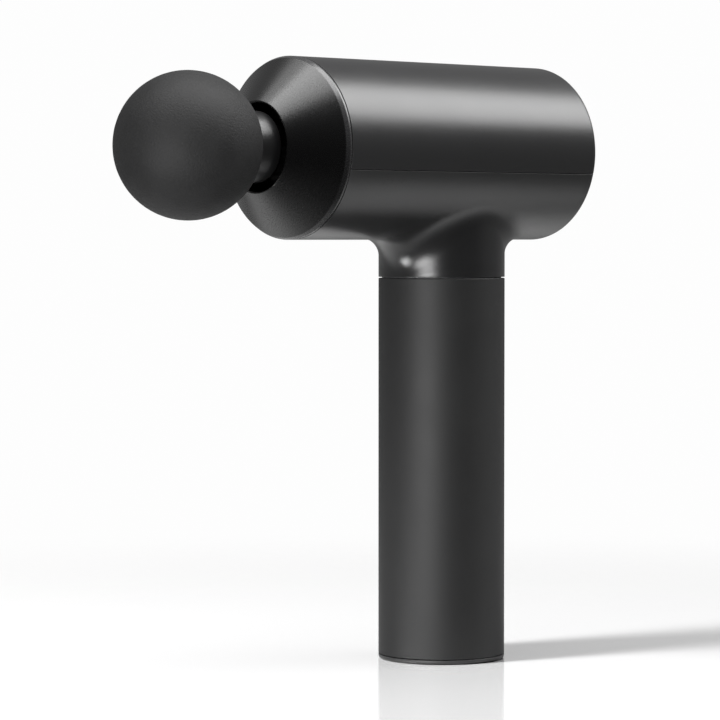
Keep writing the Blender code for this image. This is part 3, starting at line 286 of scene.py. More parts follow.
@dataclass(frozen=True)
class BlastedShell(Moulded):
    """Bead-blasted gunmetal with a fine even grain, and a paler band of painted highlight where one is
    asked for.
    """

    colour: Colour = (0.0110, 0.0110, 0.0114)
    roughness: float = 0.30
    grain: float = 0.00030
    grain_depth: float = 12 * MICRON
    cloud: Point = (0.022, 3.0)
    span: Point = (0.35, 0.75)
    shades: Point = (0.86, 1.16)
    waver: Point = (0.10, 0.05)
    fleck: float = 0.00018
    # painted highlight: the y values where a paler band starts, and the band's colour
    band: Optional[Point] = None
    highlight_band_colour: Colour = (0.0300, 0.0300, 0.0310)

    def base(self, shader: Shader, cloud: Sock) -> Sock:
        """The flecked base colour.

        Args:
            shader: the material's shader.
            cloud: the slow cloud, which this finish leaves to the roughness.

        Returns:
            The colour; a paler band of painted highlight starts across its two y values and runs on to
            the rear.
        """
        base = super().base(shader, shader.noise(self.fleck, 1.0))
        # painted highlight: from the band onwards the colour turns paler, standing in for the light the
        # rim catches
        if self.band:
            along = shader.node("ShaderNodeSeparateXYZ", {}, {0: shader.place()}, "Y")
            base = shader.mix(along.eased(*self.band), base, shade(self.highlight_band_colour))
        return base


@dataclass(frozen=True)
class SoftTouch(Moulded):
    """Matt soft-touch coating of the grip."""

    colour: Colour = (0.0080, 0.0080, 0.0082)
    roughness: float = 0.58
    grain: float = 0.00045
    grain_depth: float = 12 * MICRON
    grain_layers: float = 2.0
    cloud: Point = (0.016, 4.0)
    shades: Point = (0.93, 1.07)
    waver: Point = (0.06, 0.08)
    constants: ClassVar[dict] = {"Specular_IOR_Level": 0.42}


@dataclass(frozen=True)
class Metal(Moulded):
    """Machined metal with fine tool marks."""

    roughness: float = 0.28
    grain: float = 0.0011
    grain_depth: float = 6 * MICRON
    grain_layers: float = 2.0
    stretch: Triple = (1.0, 1.0, 9.0)
    cloud: Point = (0.006, 3.0)
    span: Point = (0.3, 0.75)
    shades: Point = (0.86, 1.06)
    waver: Point = (0.14, 0.10)
    constants: ClassVar[dict] = {"Metallic": 1.0}


@dataclass(frozen=True)
class CellWrap(Moulded):
    """Shrink wrap over a steel cell can, with long creases."""

    colour: Colour = (0.010, 0.090, 0.260)
    roughness: float = 0.26
    grain: float = 0.0026
    grain_depth: float = 60 * MICRON
    grain_layers: float = 4.0
    stretch: Triple = (1.0, 1.0, 0.18)
    cloud: Point = (0.009, 2.0)
    shades: Point = (0.80, 1.20)
    waver: Point = (0.12, 0.0)


@dataclass(frozen=True)
class Diffuser(Moulded):
    """Milky light guide round the button."""

    colour: Colour = (0.52, 0.55, 0.58)
    roughness: float = 0.38
    grain: float = 0.0025
    grain_depth: float = 10 * MICRON
    cloud: Point = (0.0025, 3.0)
    shades: Point = (0.90, 1.05)
    waver: Point = (0.14, 0.0)
    constants: ClassVar[dict] = {
        "Subsurface_Weight": 0.25,
        "Subsurface_Scale": 0.002,
        "Subsurface_Radius": (1, 1, 1),
    }


@dataclass(frozen=True)
class FoamSkin:
    """Closed-cell foam with a pitted skin, with painted glints on the raised skin between the pits."""

    colour: Colour = (0.0105, 0.0105, 0.0107)
    roughness: float = 0.66
    gloss: float = 0.22
    pit: float = 0.00085
    pit_depth: float = 90 * MICRON
    pit_span: Point = (0.05, 0.65)
    pore: float = 0.0003825
    pore_waver: float = 0.22
    # painted glints: where the paler flecks set in, how much they mix in, and how much paler they are
    glint_span: Point = (0.52, 0.74)
    glint_share: float = 0.55
    paler: float = 2.3
    cloud: Point = (0.012, 4.0)
    shades: Point = (0.80, 1.12)
    relief: Triple = (0.6, 0.7, 0.8)

    def material(self, name: str) -> bpy.types.Material:
        """Builds the material.

        Args:
            name: the material's name.

        Returns:
            The material.
        """
        shader = Shader(name, Specular_IOR_Level=self.gloss)
        inputs = {"Vector": shader.place(), "Scale": 1 / self.pit}
        pits = shader.node("ShaderNodeTexVoronoi", {"feature": "F1"}, inputs).eased(*self.pit_span)
        pores = shader.noise(self.pore, 2.0)
        low, high = self.shades
        cloud = shader.noise(*self.cloud).eased(0.3, 0.7)
        dark = shader.mix(cloud, shade(self.colour, low), shade(self.colour, high))
        # painted glints: paler flecks where the pores stand up, kept out of the pits
        glint_flecks = pores.eased(*self.glint_span) * pits * self.glint_share
        base = shader.mix(glint_flecks, dark, shade(self.colour, self.paler))
        rough = self.roughness + (pores - 0.5) * self.pore_waver
        by_pits, by_pores, strength = self.relief
        relief = shader.bump(pits * by_pits + pores * by_pores, self.pit_depth, strength)
        return shader.finish(Base_Color=base, Roughness=rough, Normal=relief)


@dataclass(frozen=True)
class CircuitBoard:
    """Solder-masked board with paler traces under the mask."""

    mask: Colour = (0.008, 0.085, 0.035)
    trace: Colour = (0.030, 0.200, 0.080)
    trace_height: float = 20 * MICRON
    bricks: float = 420.0
    mortar: float = 0.045
    weave: float = 0.0009
    roughness: float = 0.30
    waver: float = 0.12

    def material(self, name: str) -> bpy.types.Material:
        """Builds the material.

        Args:
            name: the material's name.

        Returns:
            The material.
        """
        shader = Shader(name)
        inputs = {"Vector": shader.place(), "Scale": self.bricks, "Mortar Size": self.mortar}
        traces = shader.node("ShaderNodeTexBrick", {"offset": 0.35, "squash": 0.6}, inputs, "Fac")
        base = shader.mix(traces, shade(self.mask), shade(self.trace))
        rough = self.roughness + (shader.noise(self.weave, 2.0) - 0.5) * self.waver
        relief = shader.bump(traces, self.trace_height)
        return shader.finish(Base_Color=base, Roughness=rough, Normal=relief)


@dataclass(frozen=True)
class Winding:
    """Enamelled copper wire laid side by side, with painted shade in the valleys between the wires."""

    colour: Colour = (0.620, 0.210, 0.070)
    band: float = 0.018
    wobble: float = 1.2
    wire_depth: float = 200 * MICRON
    # painted shade: the low shade darkens the valleys between the wires
    shades: Point = (0.45, 1.10)
    roughness: float = 0.26
    waver: float = 0.10

    def material(self, name: str) -> bpy.types.Material:
        """Builds the material.

        Args:
            name: the material's name.

        Returns:
            The material.
        """
        shader = Shader(name, Metallic=0.9)
        inputs = {"Vector": shader.place(), "Scale": 1 / self.band, "Distortion": self.wobble}
        wires_and_shade = shader.node("ShaderNodeTexWave", {"bands_direction": "DIAGONAL"}, inputs, 1)
        low, high = self.shades
        # painted shade: the colour drops to the low shade in the valleys between the wires, where the
        # relief sinks
        base = shader.mix(wires_and_shade, shade(self.colour, low), shade(self.colour, high))
        relief = shader.bump(wires_and_shade, self.wire_depth)
        rough = self.roughness + wires_and_shade * self.waver
        return shader.finish(Base_Color=base, Roughness=rough, Normal=relief)


# The y values across which the nose's black turns into its paler rim band, a painted highlight.
NOSE_HIGHLIGHT_BAND = (-75.9 * MILLIMETRE, -75.5 * MILLIMETRE)
BLACK = (0.0075, 0.0075, 0.0078)
STEEL = (0.46, 0.46, 0.47)
ALUMINIUM = (0.66, 0.67, 0.68)

FINISHES = {
    "rubber": Moulded((0.014, 0.014, 0.014), 0.62, 0.0006, 20 * MICRON),
    "soft_plastic": Moulded((0.024, 0.024, 0.0245), 0.42),
    "screws": Metal(STEEL, 0.30),
    "grip_sleeve": SoftTouch(),
    "frame_plastic": Moulded((0.055, 0.056, 0.058), 0.48),
    "board": CircuitBoard(),
    "socket": Metal((0.62, 0.62, 0.63), 0.24),
    "cells": CellWrap(),
    "capacitor": Metal(ALUMINIUM, 0.32),
    "black_plastic": Moulded((0.012, 0.012, 0.013), 0.36),
    "lead": Moulded((0.42, 0.018, 0.014), 0.34, 0.0012),
    "motor_steel": Metal((0.34, 0.34, 0.35), 0.32, stretch=(1.0, 1.0, 14.0)),
    "magnets": Metal((0.10, 0.10, 0.105), 0.44),
    "bearing": Metal((0.60, 0.60, 0.61), 0.14),
    "end_bell": Metal(ALUMINIUM, 0.34, stretch=(1.0, 1.0, 4.0)),
    "chassis": Moulded((0.052, 0.053, 0.056), 0.46),
    "bushes": Metal((0.55, 0.30, 0.11), 0.30, stretch=(1.0, 6.0, 1.0)),
    "shells": BlastedShell(),
    # painted highlight: the nose's rim band is painted paler where it catches the light
    "nose": BlastedShell((0.0040, 0.0040, 0.0042), 0.27, band=NOSE_HIGHLIGHT_BAND),
    "rear_cap": Moulded((0.014, 0.014, 0.0145), 0.44),
    "light_ring": Diffuser(),
    "shaft": Metal((0.62, 0.62, 0.63), 0.16, stretch=(1.0, 1.0, 18.0)),
    "windings": Winding(),
    "crank": Metal((0.42, 0.42, 0.43), 0.30, stretch=(2.0, 2.0, 2.0)),
    "yoke": Metal(ALUMINIUM, 0.30, stretch=(1.0, 8.0, 1.0)),
    "plunger": Metal((0.60, 0.60, 0.61), 0.20, stretch=(1.0, 12.0, 1.0)),
    "head_stem": Moulded(BLACK, 0.34, 0.0005, 4 * MICRON),
    "massage_ball": FoamSkin(),
    "power_button": Moulded(BLACK, 0.34),
}


# ---------------- mesh making
class Axis(Enum):
    """The two axes that the round pieces are turned about."""

    GRIP = "grip"
    BARREL = "barrel"


def axis_matrix(axis: Axis, height: float) -> Matrix:
    """Places a shape turned about Z on one of the object's axes.

    Args:
        axis: the axis it is turned about.
        height: the barrel axis's height.

    Returns:
        The identity for the grip; for the barrel, Z laid along +Y at the given height.
    """
    if axis is Axis.GRIP:
        return Matrix.Identity(4)
    return Matrix.Translation((0, 0, height)) @ Matrix.Rotation(-math.pi / 2, 4, "X")


def arc(centre: Point, radius: float, start: float, end: float, steps: int) -> list[Point]:
    """Points along an arc.

    Args:
        centre: the arc's centre.
        radius: its radius.
        start: the first angle, in degrees.
        end: the last angle, in degrees.
        steps: how many stretches it has.

    Returns:
        The points, both ends included.
    """
    points = []
    for step in range(steps + 1):
        angle = math.radians(start + (end - start) * step / steps)
        points.append((centre[0] + radius * math.cos(angle), centre[1] + radius * math.sin(angle)))
    return points


def softened(corners: Sequence[Corner], closed: bool = True, steps: int = 5) -> list[Point]:
    """Rounds an outline's corners, with a holding point on each side of every round.

    Args:
        corners: each corner's two coordinates and its rounding radius.
        closed: whether the outline runs on from its last corner to its first.
        steps: how many stretches each round has.

    Returns:
        The outline's points.
    """
    points: list[Point] = []
    count = len(corners)
    for index, (across, along, radius) in enumerate(corners):
        here = Vector((across, along))
        if radius <= 0 or (not closed and index in (0, count - 1)):
            points.append((across, along))
            continue
        before = Vector(corners[index - 1][:2]) - here
        after = Vector(corners[(index + 1) % count][:2]) - here
        half = before.angle(after) / 2
        reach = radius / math.tan(half)
        room = ALMOST_HALF * min(before.length, after.length)
        if reach > room:
            radius *= room / reach
            reach = room
        way_in, way_out = before.normalized(), after.normalized()
        centre = here + (way_in + way_out).normalized() * (radius / math.sin(half))
        first, last = here + way_in * reach - centre, here + way_out * reach - centre
        turn = first.angle(last)
        hold = min(reach * HOLD, room)
        points.append(tuple(here + way_in * hold))
        for step in range(steps + 1):
            share = step / steps
            mixed = first * math.sin((1 - share) * turn) + last * math.sin(share * turn)
            points.append(tuple(centre + mixed / math.sin(turn)))
        points.append(tuple(here + way_out * hold))
    return points


def new_piece(name: str, mesh: bpy.types.Mesh) -> bpy.types.Object:
    """Links a mesh as an object at the origin, shaded smooth up to the smooth angle.

    Args:
        name: the piece's name.
        mesh: its mesh.

    Returns:
        The object.
    """
    mesh.name = name
    mesh.shade_smooth()
    mesh.set_sharp_from_angle(angle=math.radians(SMOOTH_ANGLE))
    piece = bpy.data.objects.new(name, mesh)
    bpy.context.scene.collection.objects.link(piece)
    return piece


def mesh_of(shape: bmesh.types.BMesh) -> bpy.types.Mesh:
    """Turns a finished bmesh into a mesh with its faces pointing out.

    Args:
        shape: the bmesh, which is freed.

    Returns:
        The mesh.
    """
    bmesh.ops.recalc_face_normals(shape, faces=shape.faces)
    mesh = bpy.data.meshes.new("shape")
    shape.to_mesh(mesh)
    shape.free()
    return mesh


def turned(profile: Sequence[Point], steps: int, place: Matrix) -> bpy.types.Mesh:
    """Spins a profile of (radius, height) points into a closed solid.

    Args:
        profile: a closed outline, or an open one whose two ends lie on the axis.
        steps: how many stretches go round.
        place: where the axis lies.

    Returns:
        The mesh.
    """
    shape = bmesh.new()
    rings = []
    for radius, height in profile:
        if radius < MICRON / 10:
            rings.append([shape.verts.new(place @ Vector((0, 0, height)))])
            continue
        ring = []
        for step in range(steps):
            angle = 2 * math.pi * step / steps
            spot = Vector((radius * math.cos(angle), radius * math.sin(angle), height))
            ring.append(shape.verts.new(place @ spot))
        rings.append(ring)
    closed = len(rings[0]) > 1
    for ring, after in zip(rings, rings[1:] + (rings[:1] if closed else [])):
        for step in range(steps):
            following = (step + 1) % steps
            if len(ring) == 1 and len(after) == 1:
                continue
            if len(ring) == 1:
                shape.faces.new((ring[0], after[step], after[following]))
            elif len(after) == 1:
                shape.faces.new((ring[step], ring[following], after[0]))
            else:
                shape.faces.new((ring[step], ring[following], after[following], after[step]))
    return mesh_of(shape)


def settled(piece: bpy.types.Object) -> bpy.types.Object:
    """Applies a piece's modifiers to its mesh.

    Args:
        piece: the piece, with its modifiers still live.

    Returns:
        The same piece, as a plain mesh.
    """
    bpy.context.view_layer.update()
    evaluated = piece.evaluated_get(bpy.context.evaluated_depsgraph_get())
    piece.data = bpy.data.meshes.new_from_object(evaluated)
    piece.modifiers.clear()
    return piece


def eased_edges(piece: bpy.types.Object, width: float, angle: float) -> bpy.types.Object:
    """Rounds the sharp edges of a piece.

    Args:
        piece: the piece.
        width: the rounding's width, in metres.
        angle: the least angle, in degrees, of an edge that is rounded.

    Returns:
        The same piece.
    """
    bevel = piece.modifiers.new("edges", "BEVEL")
    bevel.width = width
    bevel.segments = 3
    bevel.limit_method = "ANGLE"
    bevel.angle_limit = math.radians(angle)
    bevel.harden_normals = True
    return settled(piece)


def cut_by(piece: bpy.types.Object, cutter: bpy.types.Object) -> bpy.types.Object:
    """Cuts a closed piece by another, which is then removed.

    Args:
        piece: the piece.
        cutter: the shape that is taken out of it.

    Returns:
        The cut piece.
    """
    boolean = piece.modifiers.new("cut", "BOOLEAN")
    boolean.operation = "DIFFERENCE"
    boolean.object = cutter
    settled(piece)
    bpy.data.objects.remove(cutter)
    piece.data.set_sharp_from_angle(angle=math.radians(SMOOTH_ANGLE))
    return piece


# ---------------- sizes from the frame
@dataclass(frozen=True)
class Measures:
    """The driving sizes, read from the frame's boxes."""

    barrel_radius: float
    barrel_height: float
    barrel_front: float
    barrel_rear: float
    seam_height: float
    grip_radius: float
    grip_bottom: float
    grip_top: float
    neck_foot: float
    nose_tip: float
    nose_back: float
    ball_radius: float
    ball_centre: float

    @classmethod
    def from_frame(cls) -> "Measures":
        """Reads the boxes of the visible nodes.

        Returns:
            The sizes, in metres.
        """
        upper_low, upper_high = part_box("upper_shell")
        lower_low, lower_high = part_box("lower_shell")
        grip_low, grip_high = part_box("grip_sleeve")
        nose_low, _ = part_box("nose_cone")
        ball_low, ball_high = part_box("massage_ball")
        radius = (upper_high.x - upper_low.x) / 2
        ball = (ball_high.x - ball_low.x) / 2
        return cls(
            barrel_radius=radius,
            barrel_height=upper_high.z - radius,
            barrel_front=upper_low.y,
            barrel_rear=upper_high.y,
            seam_height=(upper_low.z + lower_high.z) / 2,
            grip_radius=grip_high.x,
            grip_bottom=grip_low.z,
            grip_top=grip_high.z,
            neck_foot=lower_low.z,
            nose_tip=nose_low.y,
            nose_back=upper_low.y - GAP,
            ball_radius=ball,
            ball_centre=ball_low.y + ball,
        )


@dataclass
class Builder:
    """What every sub-assembly shares: its sizes, and how a piece is dressed and handed over."""

    sizes: Measures

    def __post_init__(self) -> None:
        """Finds the two axes."""
        self.barrel = axis_matrix(Axis.BARREL, self.sizes.barrel_height)
        self.grip = axis_matrix(Axis.GRIP, self.sizes.barrel_height)

    def hand_over(self, piece: bpy.types.Object, slot: str, node: str, body: str = "body") -> None:
        """Dresses a piece, lets it ride and replaces the node it stands for.

        Args:
            piece: the finished piece.
            slot: its material slot.
            node: the CAD node it replaces.
            body: the body it moves with.
        """
        piece.data.materials.clear()
        piece.data.materials.append(Wardrobe.material(slot))
        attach(piece, body)
        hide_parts(node)
        log.info("%s: %d faces on %s", piece.name, len(piece.data.polygons), body)


class Wardrobe:
    """One material for each slot, made when it is first worn."""

    made: ClassVar[dict[str, bpy.types.Material]] = {}

    @classmethod
    def material(cls, slot: str) -> bpy.types.Material:
        """The material of a slot.

        Args:
            slot: the slot's name.

        Returns:
            The material.
        """
        if slot not in cls.made:
            cls.made[slot] = FINISHES[slot].material(slot)
        return cls.made[slot]


# ---------------- grip
@dataclass
class Grip(Builder):
    """Soft sleeve, base cap and foot pad."""

    steps: int = 192
    sleeve_wall: float = 0.9 * MILLIMETRE
    top_edge: float = 0.25 * MILLIMETRE
    top_rise: float = 0.6 * MILLIMETRE
    foot_edge: float = 1.2 * MILLIMETRE
    port_width: float = 9.4 * MILLIMETRE
    port_height: float = 3.6 * MILLIMETRE
    port_steps: int = 12
    base_wall: float = 1.6 * MILLIMETRE
    base_floor: float = 2.7 * MILLIMETRE
    ribs: int = 5
    first_rib: float = 0.86
    rib_spacing: float = 0.16
    rib_height: float = 0.25 * MILLIMETRE

    def port(self) -> bpy.types.Object:
        """The cutter for the charging plug's way in, at the back of the grip.

        Returns:
            The cutter, as deep as three walls of the sleeve.
        """
        socket_low, socket_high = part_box("charge_socket")
        middle = (socket_low.z + socket_high.z) / 2
        straight = (self.port_width - self.port_height) / 2
        half_round = arc((0, 0), self.port_height / 2, -90, 90, self.port_steps)
        outline = [(x + straight, z) for x, z in half_round]
        outline += [(-x, -z) for x, z in outline]
        outer, wall = self.sizes.grip_radius, self.sleeve_wall
        shape = bmesh.new()
        front = [shape.verts.new((x, outer - 2 * wall, z + middle)) for x, z in outline]
        back = [shape.verts.new((x, outer + wall, z + middle)) for x, z in outline]
        shape.faces.new(front)
        shape.faces.new(back)
        for index in range(len(outline)):
            shape.faces.new((front[index - 1], front[index], back[index], back[index - 1]))
        return new_piece("port", mesh_of(shape))

    def sleeve(self) -> None:
        """The sleeve, open for the charging plug; it reaches up into the groove under the neck."""
        outer = self.sizes.grip_radius
        inner = outer - self.sleeve_wall
        low, high = self.sizes.grip_bottom, self.sizes.grip_top + self.top_rise
        fine = 0.1 * MILLIMETRE
        corners = [(inner, low, 0), (outer, low, fine), (outer, high, self.top_edge), (inner, high, fine)]
        piece = new_piece("sleeve", turned(softened(corners), self.steps, self.grip))
        self.hand_over(cut_by(piece, self.port()), "grip_sleeve", "grip_sleeve")

    def base(self) -> None:
        """The base cap, whose rounded rim shows under the sleeve."""
        low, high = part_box("base_cap")
        _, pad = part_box("foot_pad")
        outer, rim_top = self.sizes.grip_radius, self.sizes.grip_bottom - GAP
        core = outer - self.sleeve_wall - GAP - self.base_wall
        recess = pad.z + GAP
        floor_top = recess + self.base_floor
        fine = 0.12 * MILLIMETRE
        corners = [(pad.x + GAP, recess, 0), (pad.x + GAP, low.z, fine)]
        corners += [(outer, low.z, self.foot_edge), (outer, rim_top, fine), (core, rim_top, 0)]
        corners += [(core, high.z, fine), (core - self.base_wall, high.z, fine)]
        corners += [(core - self.base_wall, floor_top, 0)]
        outline = [(0, recess)] + softened(corners, closed=False, steps=7) + [(0, floor_top)]
        piece = new_piece("base", turned(outline, self.steps, self.grip))
        self.hand_over(piece, "soft_plastic", "base_cap")

    def foot(self) -> None:
        """The foot pad, with ring-shaped ribs in its underside."""
        low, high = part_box("foot_pad")
        fine, rib = 0.12 * MILLIMETRE, self.rib_height
        corners = [(high.x, high.z, fine), (high.x, low.z, 2 * fine)]
        for ring in range(self.ribs):
            middle = high.x * (self.first_rib - self.rib_spacing * ring)
            corners += [(middle + rib, low.z, 0), (middle, low.z + rib, 0), (middle - rib, low.z, 0)]
        outline = [(0, high.z)] + softened(corners, closed=False) + [(0, low.z)]
        piece = new_piece("foot", turned(outline, self.steps, self.grip))
        self.hand_over(piece, "rubber", "foot_pad")

    def build(self) -> None:
        """Builds the sub-assembly."""
        self.sleeve()
        self.base()
        self.foot()


# ---------------- shells
@dataclass
class Shells(Builder):
    """The two barrel shells, the lower one with the neck blown out of it."""

    wall: float = 2.0 * MILLIMETRE
    neck_fillet: float = 13.0 * MILLIMETRE
    neck_bore: float = 21.6 * MILLIMETRE
    rear_edge: float = 2.0 * MILLIMETRE
    rear_lip: float = 2.2 * MILLIMETRE
    rear_opening: float = 26.2 * MILLIMETRE
    foot_edge: float = 0.12 * MILLIMETRE
    foot_round: float = 0.3
    wall_shares: Triple = (0.0, 0.33, 0.67)
    edge: float = 0.05 * MILLIMETRE
    hold: float = 0.6 * MILLIMETRE
    lap: float = 1.0 * MILLIMETRE
    round_steps: int = 240
    neck_steps: int = 288
    fillet_steps: int = 26
    ray_steps: int = 14
    edge_steps: int = 8
    edge_angle: float = 60.0

    def rear_profile(self) -> list[Point]:
        """The points round the rear edge, from the outer skin to the inner one.

        Returns:
            Each point's radius and y.
        """
        outer, rear = self.sizes.barrel_radius, self.sizes.barrel_rear
        middle = (outer - self.rear_edge, rear - self.rear_edge)
        points = arc(middle, self.rear_edge, 0, 90, self.edge_steps)
        opening = self.rear_opening
        points.append((outer - self.rear_edge - self.hold / 2, rear))
        points += [(opening + self.edge, rear), (opening, rear - self.edge)]
        points += [(opening, rear - self.rear_lip), (outer - self.wall, rear - self.rear_lip)]
        return points

    def upper(self) -> None:
        """The upper shell, a turned wall that stops at the parting line."""
        outer, front = self.sizes.barrel_radius, self.sizes.barrel_front
        profile = [(outer - self.wall, front), (outer, front), (outer, front + self.hold)]
        profile += [(outer, self.sizes.barrel_rear - self.rear_edge - self.hold)]
        profile += self.rear_profile()
        shape = bmesh.new()
        rows = []
        for radius, along in profile:
            most = math.pi - self.roll(radius, GAP)
            row = []
            for step in range(self.round_steps + 1):
                angle = most * (2 * step / self.round_steps - 1)
                row.append(shape.verts.new(self.on_barrel(radius, math.pi - angle, along)))
            rows.append(row)
        for row, after in zip(rows, rows[1:] + rows[:1]):
            for step in range(self.round_steps):
                shape.faces.new((row[step], row[step + 1], after[step + 1], after[step]))
        for end in (0, -1):
            shape.faces.new([row[end] for row in rows])
        piece = eased_edges(new_piece("shell_top", mesh_of(shape)), self.edge, self.edge_angle)
        self.hand_over(piece, "shells", "upper_shell")

    def neck_column(self, angle: float) -> list[Vector]:
        """The neck's outer skin at one angle round the grip, from its foot to the barrel.

        Args:
            angle: the angle from +Y towards +X.

        Returns:
            The points, the last of which lies on the barrel.
        """
        foot, edge = self.sizes.neck_foot, self.foot_edge
        radius, fillet = self.sizes.grip_radius, self.neck_fillet
        reach = self.sizes.barrel_radius + fillet
        out = Vector((math.sin(angle), math.cos(angle), 0))
        centre = out * (radius + fillet)
        centre.z = self.sizes.barrel_height - math.sqrt(reach * reach - centre.x * centre.x)
        to_grip = -out
        to_barrel = Vector((-centre.x, 0, self.sizes.barrel_height - centre.z)) / reach
        turn = to_grip.angle(to_barrel)
        column = [out * (radius - edge) + Vector((0, 0, foot))]
        inset = edge * self.foot_round
        column.append(out * (radius - inset) + Vector((0, 0, foot + inset)))
        wall_low = foot + edge
        for share in self.wall_shares:
            column.append(out * radius + Vector((0, 0, wall_low + (centre.z - wall_low) * share)))
        for step in range(self.fillet_steps + 1):
            share = step / self.fillet_steps
            way = to_grip * math.sin((1 - share) * turn) + to_barrel * math.sin(share * turn)
            column.append(centre + way * (fillet / math.sin(turn)))
        return column

    def border(self) -> list[tuple[float, float, bool]]:
        """Where each ray from the neck meets the lower shell's edge.

        Returns:
            For each step round the neck, the share of the widest roll angle, y, and whether the
            ray ends on the rear edge. Four rays end exactly on the corners.
        """
        front = self.sizes.barrel_front
        rear = self.sizes.barrel_rear - self.rear_edge
        half = self.roll(self.sizes.barrel_radius) * self.sizes.barrel_radius
        nothing = MICRON / 1000
        rays = []
        for step in range(self.neck_steps):
            angle = 2 * math.pi * step / self.neck_steps
            across, along = math.sin(angle), math.cos(angle)
            limit_y = rear if along > 0 else -front
            scale = min(half / max(abs(across), nothing), limit_y / max(abs(along), nothing))
            at_rear = along > 0 and abs(along * scale - rear) < nothing
            rays.append([across * scale / half, along * scale, at_rear])
        for side in (-1, 1):
            for along in (front, rear):
                nearest = min(rays, key=lambda ray: math.hypot(ray[0] - side, (ray[1] - along) / half))
                nearest[:] = [side, along, along == rear]
        return [tuple(ray) for ray in rays]

    def roll(self, radius: float, rise: float = 0.0) -> float:
        """How far round a skin reaches; the parting lies higher inside, so no light passes.

        Args:
            radius: the skin's radius.
            rise: how far above the lower shell's edge, in metres.

        Returns:
            The widest angle from straight down.
        """
        inward = min((self.sizes.barrel_radius - radius) / self.wall, 1.0)
        drop = self.sizes.barrel_height - self.sizes.seam_height + GAP / 2 - self.lap * inward - rise
        return math.acos(drop / radius)

    def on_barrel(self, radius: float, roll: float, along: float) -> Vector:
        """A point on a skin of the barrel: its radius, its angle from straight down and its y."""
        height = self.sizes.barrel_height - radius * math.cos(roll)
        return Vector((radius * math.sin(roll), along, height))

    def lower(self) -> None:
        """The lower shell as one skin that runs out from the neck in rays."""
        outer = self.sizes.barrel_radius
        inner = outer - self.wall
        wide, narrow = self.roll(outer), self.roll(inner)
        lip = self.sizes.barrel_rear - self.rear_lip
        shape = bmesh.new()
        skins, cores, rears = [], [], []
        for step, (share, along, at_rear) in enumerate(self.border()):
            angle = 2 * math.pi * step / self.neck_steps
            column = self.neck_column(angle)
            contact = column[-1]
            roll = math.asin(contact.x / outer)
            for index in range(1, self.ray_steps + 1):
                part = index / self.ray_steps
                turn = roll + (share * wide - roll) * part
                column.append(self.on_barrel(outer, turn, contact.y + (along - contact.y) * part))
            bore = Vector((math.sin(angle), math.cos(angle), 0)) * self.neck_bore
            start = math.asin(bore.x / inner)
            end = lip if at_rear else along
            core = []
            for index in range(self.ray_steps, -1, -1):
                part = index / self.ray_steps
                turn = start + (share * narrow - start) * part
                core.append(self.on_barrel(inner, turn, bore.y + (end - bore.y) * part))
            core.append(bore + Vector((0, 0, self.sizes.neck_foot)))
            skins.append([shape.verts.new(point) for point in column])
            cores.append([shape.verts.new(point) for point in core])
            rear = []
            if at_rear:
                for radius, y in self.rear_profile()[1:-1]:
                    rear.append(shape.verts.new(self.on_barrel(radius, share * self.roll(radius), y)))
            rears.append(rear)
        for step in range(self.neck_steps):
            following = (step + 1) % self.neck_steps
            skin, next_skin = skins[step], skins[following]
            core, next_core = cores[step], cores[following]
            here, after = [core[-1]] + skin, [next_core[-1]] + next_skin
            if rears[step] and rears[following]:
                here, after = here + rears[step], after + rears[following]
            here, after = here + core, after + next_core
            for index in range(len(here) - 1):
                shape.faces.new((here[index], after[index], after[index + 1], here[index + 1]))
            if bool(rears[step]) != bool(rears[following]):
                corner = step if rears[step] else following
                shape.faces.new([skins[corner][-1]] + rears[corner] + [cores[corner][0]])
        piece = eased_edges(new_piece("shell_bottom", mesh_of(shape)), self.edge, self.edge_angle)
        self.hand_over(piece, "shells", "lower_shell")

    def build(self) -> None:
        """Builds the sub-assembly."""
        self.upper()
        self.lower()


